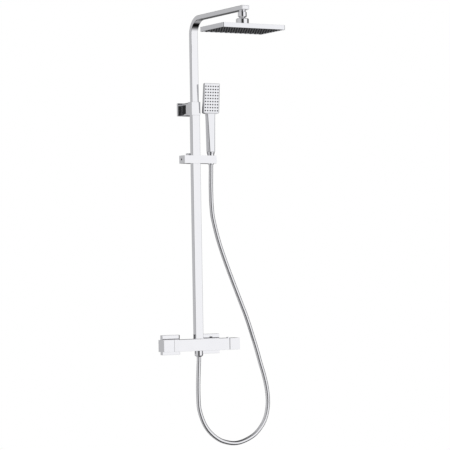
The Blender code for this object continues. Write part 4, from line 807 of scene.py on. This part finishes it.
# rain head on its ball joint
rainLook = {
    "edge": 0.6, "corner": 4.0, "rim": 3.0, "skin": 2.5, "columns": 12, "rows": 8,
    "pitchX": 18.0, "pitchY": 17.0, "nozzle": 5.8, "proud": 2.4, "boss": 9.75, "inlet": 6.0,
    "plateLift": 0.6, "plateEdge": 0.5, "hubGap": 0.3, "cup": 16.1, "ball": 12.5,
    "ballDrop": 4.5, "hubEdge": 1.6, "nutHeight": 16.0, "nutEdge": 1.2, "ballBore": 4.2,
    "stemRadius": 6.0, "stemBore": 4.25, "stemDepth": 9.9,
}


def nozzleField(name, columns, rows, pitchX, pitchY, diameter, proud, sides=12):
    # one nozzle modelled at the first place of the grid, then repeated in two directions
    nozzle = startDrum(name, diameter / 2, proud, (0, 0, proud / 2), "Z", sides, diameter * 0.36)
    pickFaces(nozzle, facing((0, 0, 1)))
    bpy.ops.mesh.inset(thickness=diameter * 0.12, depth=0)
    drawOut((0, 0, -proud * 0.35))
    letGo()
    polish(nozzle, 50, flats=False)
    for count, offset in ((columns, (pitchX, 0, 0)), (rows, (0, pitchY, 0))):
        grid = nozzle.modifiers.new("grid", "ARRAY")
        grid.count = count
        grid.use_relative_offset = False
        grid.use_constant_offset = True
        grid.constant_offset_displace = offset
        applyLast(nozzle, grid)
    nozzle.location = (-(columns - 1) / 2 * pitchX, -(rows - 1) / 2 * pitchY, 0)
    settle(nozzle)
    return nozzle


def buildRainHead(finishes):
    low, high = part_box("rain_head_shell")
    plateLow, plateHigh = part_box("rain_head_nozzle_plate")
    hubLow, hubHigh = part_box("head_hub_nut")
    top = hubLow.z - rainLook["hubGap"] * mm
    middle = (low + high) / 2
    body = bodyOf("rain_head_shell")
    shell = startSection("rainHeadShellPlated", high.x - low.x, high.y - low.y,
                         rainLook["corner"] * mm, 6, (middle.x, middle.y, low.z))
    drawOut((0, 0, top - low.z))
    letGo()
    cleanUp(shell)
    inset = Vector((rainLook["rim"] * mm, rainLook["rim"] * mm, 0))
    carve(shell, startBlock("cavity", low + inset - Vector((0, 0, mm)),
                            Vector((high.x, high.y, top - rainLook["skin"] * mm)) - inset))
    boss = startDrum("boss", rainLook["boss"] * mm, 6 * mm, (middle.x, middle.y, high.z - 3 * mm))
    carve(shell, boss, "UNION")
    inlet = startDrum("inlet", rainLook["inlet"] * mm, 20 * mm, (middle.x, middle.y, top))
    carve(shell, inlet)
    cleanUp(shell)
    roundEdges(shell, rainLook["edge"] * mm, 3, 40)
    polish(shell)
    finishPiece(shell, body, finishes["plated"], ["rain_head_shell"])
    faceZ = low.z + rainLook["plateLift"] * mm
    plate = startBlock("rainHeadSprayPlate", (plateLow.x, plateLow.y, faceZ),
                       (plateHigh.x, plateHigh.y, plateHigh.z))
    roundEdges(plate, rainLook["plateEdge"] * mm, 2)
    polish(plate)
    finishPiece(plate, body, finishes["plated"])
    nozzles = nozzleField(
        "rainHeadNozzles", rainLook["columns"], rainLook["rows"], rainLook["pitchX"] * mm,
        rainLook["pitchY"] * mm, rainLook["nozzle"] * mm, (rainLook["proud"] + 0.3) * mm,
    )
    nozzles.rotation_euler = (math.pi, 0, 0)
    nozzles.location = (middle.x, middle.y, faceZ + 0.3 * mm)
    settle(nozzles)
    finishPiece(nozzles, body, finishes["silicone"], ["rain_head_nozzle_plate"])
    # the hub with its spanner chamfers
    middleHub = (hubLow + hubHigh) / 2
    radius = (hubHigh.x - hubLow.x) / 2
    ballZ = hubHigh.z - rainLook["ballDrop"] * mm
    cavity = rainLook["cup"] * mm
    arc = []
    for step in range(9):
        angle = math.radians(38 + 68 * step / 8)
        arc.append((cavity * math.sin(angle), ballZ - cavity * math.cos(angle)))
    edge = rainLook["hubEdge"] * mm
    profile = [(arc[0][0], hubLow.z), (radius, hubLow.z), (radius, hubHigh.z - edge),
               (radius - edge, hubHigh.z), (arc[-1][0], hubHigh.z)] + arc[::-1]
    hub = turnPiece("headHubNutTurned", profile, (middleHub.x, middleHub.y, 0), "Z", 72)
    finishPiece(hub, bodyOf("head_hub_nut"), finishes["chrome"], ["head_hub_nut"])
    # the swivel nut and the ball in one piece with it
    nutLow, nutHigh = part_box("swivel_nut_and_ball")
    radius = (nutHigh.x - nutLow.x) / 2
    ballRadius = rainLook["ball"] * mm
    ball = []
    for step in range(14):
        angle = math.radians(20 + 120 * step / 13)
        ball.append((ballRadius * math.sin(angle), ballZ - ballRadius * math.cos(angle)))
    nutFoot = nutHigh.z - rainLook["nutHeight"] * mm
    edge, bore = rainLook["nutEdge"] * mm, rainLook["ballBore"] * mm
    socket, shelf = riserLook["outletHole"] * mm, nutHigh.z - rainLook["stemDepth"] * mm
    profile = [(bore, ball[0][1])] + ball + [
        (ball[-1][0], nutFoot), (radius - edge, nutFoot), (radius, nutFoot + edge),
        (radius, nutHigh.z - edge), (radius - edge, nutHigh.z), (socket, nutHigh.z),
        (socket, shelf), (bore, shelf),
    ]
    centre = ((nutLow.x + nutHigh.x) / 2, (nutLow.y + nutHigh.y) / 2, 0)
    nut = turnPiece("swivelNutAndBallTurned", profile, centre, "Z", 64, True, 0.2 * mm)
    finishPiece(nut, bodyOf("swivel_nut_and_ball"), finishes["chrome"],
                ["swivel_nut_and_ball"])
    stemLow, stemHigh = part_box("arm_outlet_nipple")
    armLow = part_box("riser_upper_tube_and_arm")[1].z - 14.15 * mm
    neck = (stemHigh.x - stemLow.x) / 2
    stemRadius, bore = rainLook["stemRadius"] * mm, rainLook["stemBore"] * mm
    foot, head = nutHigh.z + 0.3 * mm, armLow - 0.3 * mm
    profile = [(bore, stemLow.z), (stemRadius, stemLow.z), (stemRadius, foot), (neck, foot),
               (neck, head), (stemRadius, head), (stemRadius, stemHigh.z), (bore, stemHigh.z)]
    stem = turnPiece("armOutletNippleTurned", profile, centre, "Z", 48)
    finishPiece(stem, bodyOf("arm_outlet_nipple"), finishes["chrome"],
                ["arm_outlet_nipple"])
    print("rain head done")


# slider with the holder for the hand shower
sliderLook = {
    "edge": 0.7, "leverEdge": 0.8, "railGap": 0.3, "footRadius": 9.6, "rimRadius": 10.8,
    "coneGap": 0.4, "coneBelow": 3.0, "slot": 8.2, "setScrewHole": 3.3, "yokeScrewHole": 2.3,
    "pinHole": 1.9, "leverRest": 2.3, "leverNarrowing": 0.775,
}


def buildSlider(finishes):
    low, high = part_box("slider_block")
    body = bodyOf("slider_block")
    block = startBlock("sliderBlockCast", low, high)
    linerLow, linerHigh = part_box("slider_liner")
    gap, coneGap = sliderLook["railGap"] * mm, sliderLook["coneGap"] * mm
    wide = linerHigh.x + gap
    carve(block, startBlock("rail", (-wide, linerLow.y - gap, low.z - mm),
                            (wide, high.y + mm, high.z + mm)))
    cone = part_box("hose_cone_nut")
    holder = (cone[0] + cone[1]) / 2
    footRadius = sliderLook["footRadius"] * mm + coneGap
    rimRadius = sliderLook["rimRadius"] * mm + coneGap
    slope = (rimRadius - footRadius) / (high.z - low.z + sliderLook["coneBelow"] * mm)
    tall = high.z - low.z + 2 * mm
    socket = startDrum("socket", footRadius + slope * 2 * mm, tall,
                       (holder.x, holder.y, (low.z + high.z) / 2), "Z", 64, rimRadius + slope * mm)
    carve(block, socket)
    slot = sliderLook["slot"] * mm
    carve(block, startBlock("slot", (holder.x, holder.y - slot, low.z - mm),
                            (high.x + mm, holder.y + slot, high.z + mm)))
    screwLow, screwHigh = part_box("holder_set_screw")
    middle = (screwLow + screwHigh) / 2
    carve(block, startDrum("hole", sliderLook["setScrewHole"] * mm, 20 * mm,
                           (low.x, middle.y, middle.z), "X", 32))
    for node in ("yoke_screw_left", "yoke_screw_right"):
        place = middleOf(node)
        carve(block, startDrum("hole", sliderLook["yokeScrewHole"] * mm, 18 * mm,
                               (place.x, high.y, place.z), "Y", 24))
    finishCasting(block, sliderLook["edge"], body, finishes["chrome"], ["slider_block"])
    leverLow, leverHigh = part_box("release_lever")
    pin = middleOf("lever_pin")
    front = pin.y - 3.75 * mm
    lever = startBlock("releaseLeverCast", (leverLow.x, front, leverLow.z), leverHigh)
    lip = high.z + sliderLook["leverRest"] * mm
    pickFaces(lever, facing((0, -1, 0)))
    bpy.ops.mesh.subdivide(number_cuts=1)
    letGo()
    rest = startBlock("rest", (leverLow.x, leverLow.y, lip),
                      (leverHigh.x, leverHigh.y - 2 * mm, leverHigh.z))
    pickFaces(rest, facing((0, 0, 1)))
    bpy.ops.transform.resize(
        value=(sliderLook["leverNarrowing"], 1, 1), center_override=(0, 0, leverHigh.z)
    )
    letGo()
    carve(lever, rest, "UNION")
    carve(lever, startDrum("pin", sliderLook["pinHole"] * mm, 60 * mm, (0, pin.y, pin.z), "X", 24))
    finishCasting(
        lever, sliderLook["leverEdge"], bodyOf("release_lever"), finishes["chrome"], ["release_lever"]
    )
    print("slider done")


# hand shower
handLook = {
    "cornerSteps": 7, "tilt": 4.9, "front": 9.0, "grip": 125.5, "head": 100.0,
    "faceWidth": 56.0, "faceHeight": 93.0, "faceCorner": 2.0, "columns": 6, "rows": 9,
    "pitchX": 9.2, "pitchZ": 10.0, "nozzle": 5.4, "proud": 1.3, "narrowing": 0.10,
    "headCorner": 3.0, "socket": 7.8, "socketDepth": 18.0, "recess": 2.4, "faceGap": 0.3,
    "faceThick": 2.0, "faceEdge": 0.35,
}
# height above the foot, middle from front to back, width, depth and corner, in mm
gripSections = [
    (0.0, 0.0, 23.6, 24.0, 6.0), (1.5, 0.0, 24.6, 25.0, 6.0), (30.0, 0.0, 25.8, 23.8, 5.5),
    (70.0, 0.0, 28.0, 21.5, 5.0), (111.0, 0.0, 30.8, 19.0, 4.5), (124.0, 0.0, 32.2, 18.2, 4.5),
    (125.5, 0.0, 33.0, 18.0, 4.5),
]
# height above the grip's end, width and depth, in mm
headSections = [
    (1.2, 54.0, 16.5), (3.5, 60.2, 16.8), (6.0, 61.0, 16.6), (35.0, 61.0, 15.0),
    (70.0, 61.0, 13.4), (97.0, 61.0, 12.4), (99.2, 60.2, 11.2), (100.0, 58.8, 9.8),
]


def handRings():
    slope = math.tan(math.radians(handLook["tilt"]))
    rows = list(gripSections)
    for rise, width, depth in headSections:
        inset = 1.2 if rise in (1.2, 100.0) else 0.0
        middle = -handLook["front"] - rise * slope + inset / 2 + depth / 2
        rows.append((handLook["grip"] + rise, middle, width, depth, handLook["headCorner"]))
    full = []
    for a, b in zip(rows, rows[1:]):
        cuts = max(1, int((b[0] - a[0]) / 3))
        for step in range(cuts):
            t = step / cuts
            full.append([x + (y - x) * t for x, y in zip(a, b)])
    full.append(list(rows[-1]))
    return full


def buildHandShower(finishes):
    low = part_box("handset_shell")[0]
    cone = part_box("hose_cone_nut")
    holder = (cone[0] + cone[1]) / 2
    body = bodyOf("handset_shell")
    shape = bmesh.new()
    rings = []
    steps = handLook["cornerSteps"]
    for rise, middle, width, depth, corner in handRings():
        ring = []
        for sideX, sideY, start in ((1, 1, 0), (-1, 1, 90), (-1, -1, 180), (1, -1, 270)):
            for step in range(steps + 1):
                angle = math.radians(start + 90 * step / steps)
                x = sideX * (width / 2 - corner) + corner * math.cos(angle)
                y = sideY * (depth / 2 - corner) + corner * math.sin(angle)
                x *= 1 - handLook["narrowing"] * (y / depth + 0.5)
                ring.append(shape.verts.new(
                    (holder.x + x * mm, holder.y + (middle + y) * mm, low.z + rise * mm)
                ))
        rings.append(ring)
    for lower, upper in zip(rings, rings[1:]):
        for i in range(len(lower)):
            j = (i + 1) % len(lower)
            shape.faces.new((lower[i], lower[j], upper[j], upper[i]))
    shape.faces.new(rings[0])
    shape.faces.new(rings[-1])
    bmesh.ops.recalc_face_normals(shape, faces=shape.faces[:])
    mesh = bpy.data.meshes.new("handShowerShellPlated")
    shape.to_mesh(mesh)
    shape.free()
    shell = bpy.data.objects.new("handShowerShellPlated", mesh)
    scene.collection.objects.link(shell)
    carve(shell, startDrum("socket", handLook["socket"] * mm, handLook["socketDepth"] * 2 * mm,
                           (holder.x, holder.y, low.z)))
    tilt = math.radians(handLook["tilt"])
    faceZ = low.z + (handLook["grip"] + handLook["head"] / 2) * mm
    faceY = holder.y - handLook["front"] * mm - handLook["head"] / 2 * mm * math.tan(tilt)
    place = (
        Matrix.Translation((holder.x, faceY, faceZ)) @ Matrix.Rotation(tilt, 4, "X")
        @ Matrix.Rotation(math.radians(90), 4, "X")
    )
    width, height = handLook["faceWidth"] * mm, handLook["faceHeight"] * mm
    recess = startSection("recess", width, height, handLook["faceCorner"] * mm, 4,
                          (0, 0, -handLook["recess"] * mm))
    drawOut((0, 0, 6.4 * mm))
    letGo()
    cleanUp(recess)
    recess.matrix_world = place
    settle(recess)
    carve(shell, recess)
    cleanUp(shell)
    polish(shell, 38)
    finishPiece(shell, body, finishes["plated"], ["handset_shell"])
    gap = handLook["faceGap"]
    face = startSection("handShowerSprayFace", width - 2 * gap * mm, height - 2 * gap * mm,
                        (handLook["faceCorner"] - gap) * mm, 4,
                        (0, 0, -(handLook["recess"] - gap) * mm))
    drawOut((0, 0, handLook["faceThick"] * mm))
    letGo()
    cleanUp(face)
    roundEdges(face, handLook["faceEdge"] * mm, 2, 40)
    polish(face)
    face.matrix_world = place
    settle(face)
    finishPiece(face, body, finishes["plated"])
    nozzles = nozzleField(
        "handShowerNozzles", handLook["columns"], handLook["rows"], handLook["pitchX"] * mm,
        handLook["pitchZ"] * mm, handLook["nozzle"] * mm, handLook["proud"] * mm, 14,
    )
    nozzles.matrix_world = place @ Matrix.Translation((0, 0, -0.3 * mm))
    settle(nozzles)
    finishPiece(nozzles, body, finishes["silicone"], ["handset_spray_face"])
    print("hand shower done")


# nuts on the two ends of the hose
nutLook = {
    "straight": 17.0, "hoseDepth": 4.5, "bore": 7.7, "hole": 7.8, "wide": 13.1, "rim": 10.8,
    "foot": 9.6, "footChamfer": 0.6, "coneEdge": 0.15, "outletEdge": 0.2,
}


def buildHoseNuts(finishes):
    low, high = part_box("hose_cone_nut")
    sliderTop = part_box("slider_block")[1].z
    middle = (low + high) / 2
    hoseTop = high.z - nutLook["hoseDepth"] * mm
    wide, rim, base = nutLook["wide"] * mm, nutLook["rim"] * mm, nutLook["foot"] * mm
    bore, hole, chamfer = nutLook["bore"] * mm, nutLook["hole"] * mm, nutLook["footChamfer"] * mm
    profile = [
        (bore, low.z), (base - 0.4 * mm, low.z), (base, low.z + chamfer), (rim, sliderTop),
        (wide - 1.0 * mm, high.z - 5.6 * mm), (wide - 1.0 * mm, high.z - 4.8 * mm),
        (wide - 0.3 * mm, high.z - 4.6 * mm), (wide, high.z - 4.2 * mm), (wide, high.z - 0.6 * mm),
        (wide - 0.6 * mm, high.z), (hole, high.z), (hole, hoseTop), (bore, hoseTop - 0.4 * mm),
    ]
    nut = turnPiece("hoseConeNutTurned", profile, (middle.x, middle.y, 0), "Z", 64, True,
                    nutLook["coneEdge"] * mm)
    finishPiece(nut, bodyOf("hose_cone_nut"), finishes["chrome"],
                ["hose_cone_nut"])
    low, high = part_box("hose_outlet_nut")
    middle = (low + high) / 2
    radius = (high.x - low.x) / 2
    straight = high.z - nutLook["straight"] * mm
    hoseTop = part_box("hose_washer_bottom")[0].z - 0.3 * mm
    profile = [
        (bore, low.z), (9.3 * mm, low.z), (9.5 * mm, low.z + chamfer),
        (radius - 2.4 * mm, straight - 0.2 * mm), (radius - 0.4 * mm, straight),
        (radius - 0.9 * mm, straight + 0.8 * mm), (radius - 0.9 * mm, straight + 1.4 * mm),
        (radius, straight + 2.0 * mm), (radius, high.z - 0.8 * mm), (radius - 0.8 * mm, high.z),
        (bore, high.z), (bore, hoseTop),
    ]
    nut = turnPiece("hoseOutletNutTurned", profile, (middle.x, middle.y, 0), "Z", 64, True,
                    nutLook["outletEdge"] * mm)
    finishPiece(nut, bodyOf("hose_outlet_nut"), finishes["chrome"],
                ["hose_outlet_nut"])
    print("hose nuts done")


# the CAD pieces that stay get the finish of the real part
def dressStayingNodes(finishes):
    groups = {
        "brass": ("diverter_cartridge", "thermostatic_cartridge", "diverter_spindle",
                  "temperature_spindle", "riser_foot_plug", "riser_nipple", "outlet_nipple"),
        "steel": ("inlet_filter_left", "inlet_filter_right", "bracket_base_plate",
                  "bracket_tie_screw", "wall_screw_left", "wall_screw_right",
                  "yoke_screw_left", "yoke_screw_right", "lever_pin"),
        "blackened": ("holder_set_screw",),
        "rubber": ("tube_guide_seal", "hose_washer_top", "hose_washer_bottom"),
        "acetal": ("temperature_stop_ring", "tube_guide_plug", "flow_limiter", "ball_seat",
                   "slider_liner", "friction_shoe"),
        "chrome": ("slider_yoke", "handset_connector", "wall_union_left", "wall_union_right"),
    }
    for finish, nodes in groups.items():
        for node in nodes:
            mesh = frame["nodes"][node].data
            mesh.materials.clear()
            mesh.materials.append(finishes[finish])
    hidden = [n for n, o in frame["nodes"].items() if o.hide_render]
    dressed = [n for names in groups.values() for n in names]
    left = sorted(set(frame["nodes"]) - set(hidden) - set(dressed))
    print("nodes still plain:", left)


# soft studio round the object: bright in front, with a dark ceiling over the front
studio = {
    # compass angle from +X in degrees, and how bright that part of the room is
    "level": [
        (-180, 0.62), (-150, 0.55), (-142, 0.46), (-133, 0.03), (-108, 0.03), (-98, 0.14),
        (-90, 0.90), (-80, 0.98), (-34, 0.98), (-24, 0.45), (-18, 0.12), (12, 0.12), (40, 0.12),
        (62, 0.10), (80, 0.22), (100, 0.48), (119, 0.52), (150, 0.55), (180, 0.62),
    ],
    "over": [
        (-180, 0.62), (-145, 0.55), (-119, 0.50), (-95, 0.90), (-30, 0.95), (5, 0.50),
        (30, 0.12), (85, 0.10), (105, 0.48), (140, 0.60), (180, 0.62),
    ],
    "top": [
        (-180, 0.55), (-145, 0.50), (-100, 0.45), (-88, 0.06), (-30, 0.06), (30, 0.08),
        (85, 0.10), (105, 0.40), (140, 0.50), (180, 0.55),
    ],
    "under": [
        (-180, 0.30), (-145, 0.04), (-20, 0.00), (10, 0.02), (30, 0.30), (61, 0.50),
        (119, 0.50), (150, 0.45), (180, 0.30),
    ],
    "tint": (0.990, 0.990, 1.0),
    "overStart": (0.10, 0.50),     # height of the direction where the upper room begins and is full
    "topStart": (0.52, 0.66),      # the same for the ceiling above it
    "underStart": (-0.84, -0.30),  # and where the lower room is full and begins
    "panelPlace": (-1.6, -1.8, 3.4),
    "panelTilt": 24.0,
    "panelTurn": -42.0,
    "panelSize": 2.4,
    "panelPower": 90.0,
    "floorRadius": 2.6,
    "floorPlace": (0, -0.2, -1.15),
}


def roomRing(tree, share, stops):
    ring = addNode(tree, "ShaderNodeValToRGB", None, {"Fac": (share, "Result")})
    marks = ring.color_ramp.elements
    for index, (angle, level) in enumerate(stops):
        position = (angle + 180) / 360
        mark = marks[0] if index == 0 else marks[-1] if position == 1 else marks.new(position)
        mark.position = position
        mark.color = [level * t for t in studio["tint"]] + [1]
    return ring.outputs["Color"]


def buildStudio(finishes):
    world = bpy.data.worlds.new("softStudioRoom")
    scene.world = world
    world.use_nodes = True
    tree = world.node_tree
    background = tree.nodes["Background"]
    place = addNode(tree, "ShaderNodeTexCoord")
    split = addNode(tree, "ShaderNodeSeparateXYZ", None, {"Vector": (place, "Generated")})
    compass = addNode(
        tree, "ShaderNodeMath", {"operation": "ARCTAN2"}, {0: (split, "Y"), 1: (split, "X")}
    )
    share = addNode(
        tree, "ShaderNodeMapRange", {"From Min": -math.pi, "From Max": math.pi},
        {"Value": (compass, "Value")},
    )
    room = roomRing(tree, share, studio["level"])
    for part, invert in (("over", 0), ("top", 0), ("under", 1)):
        low, high = studio[part + "Start"]
        reach = addNode(
            tree, "ShaderNodeMapRange",
            {"interpolation_type": "SMOOTHSTEP", "From Min": low, "From Max": high,
             "To Min": invert, "To Max": 1 - invert},
            {"Value": (split, "Z")},
        )
        mixed = addNode(tree, "ShaderNodeMix", {"data_type": "RGBA"}, {"Factor": (reach, "Result")})
        tree.links.new(room, mixed.inputs[6])
        tree.links.new(roomRing(tree, share, studio[part]), mixed.inputs[7])
        room = mixed.outputs[2]
    path = addNode(tree, "ShaderNodeLightPath")
    seen = addNode(tree, "ShaderNodeMix", {"data_type": "RGBA", 7: (1, 1, 1, 1)},
                   {"Factor": (path, "Is Camera Ray")})
    tree.links.new(room, seen.inputs[6])
    tree.links.new(seen.outputs[2], background.inputs["Color"])
    scene.view_settings.view_transform = "Standard"
    letGo()
    bpy.ops.mesh.primitive_circle_add(
        vertices=96, radius=studio["floorRadius"], fill_type="NGON", location=studio["floorPlace"]
    )
    floor = bpy.context.object
    floor.name = "studioFloor"
    material, tree, shader, place = newMaterial("matteWhiteFloorPaint")
    shader.inputs["Roughness"].default_value = 0.8
    speck = addNode(
        tree, "ShaderNodeTexNoise", {"Scale": 6, "Detail": 3}, {"Vector": (place, "Object")}
    )
    tree.links.new(
        blendColours(tree, speck.outputs["Fac"], "#F2F2F1", "#EBEBEA"), shader.inputs["Base Color"]
    )
    floor.data.materials.append(material)
    floor.visible_glossy = False
    letGo()
    bpy.ops.object.light_add(type="AREA", location=studio["panelPlace"])
    lamp = bpy.context.object
    lamp.name = "softOverheadPanel"
    lamp.data.shape = "DISK"
    lamp.data.size = studio["panelSize"]
    lamp.data.energy = studio["panelPower"]
    lamp.rotation_euler = (
        math.radians(studio["panelTilt"]), 0, math.radians(studio["panelTurn"])
    )
    lamp.visible_glossy = False
    lamp.visible_camera = False
    settle(floor)
    print("studio done")


setCamera()
finishes = makeFinishes()
buildHose(finishes["strip"])
buildValve(finishes)
buildRoses(finishes)
buildLowerTube(finishes)
buildUpperTube(finishes)
buildBracket(finishes)
buildRainHead(finishes)
buildSlider(finishes)
buildHandShower(finishes)
buildHoseNuts(finishes)
dressStayingNodes(finishes)
buildStudio(finishes)
letGo()
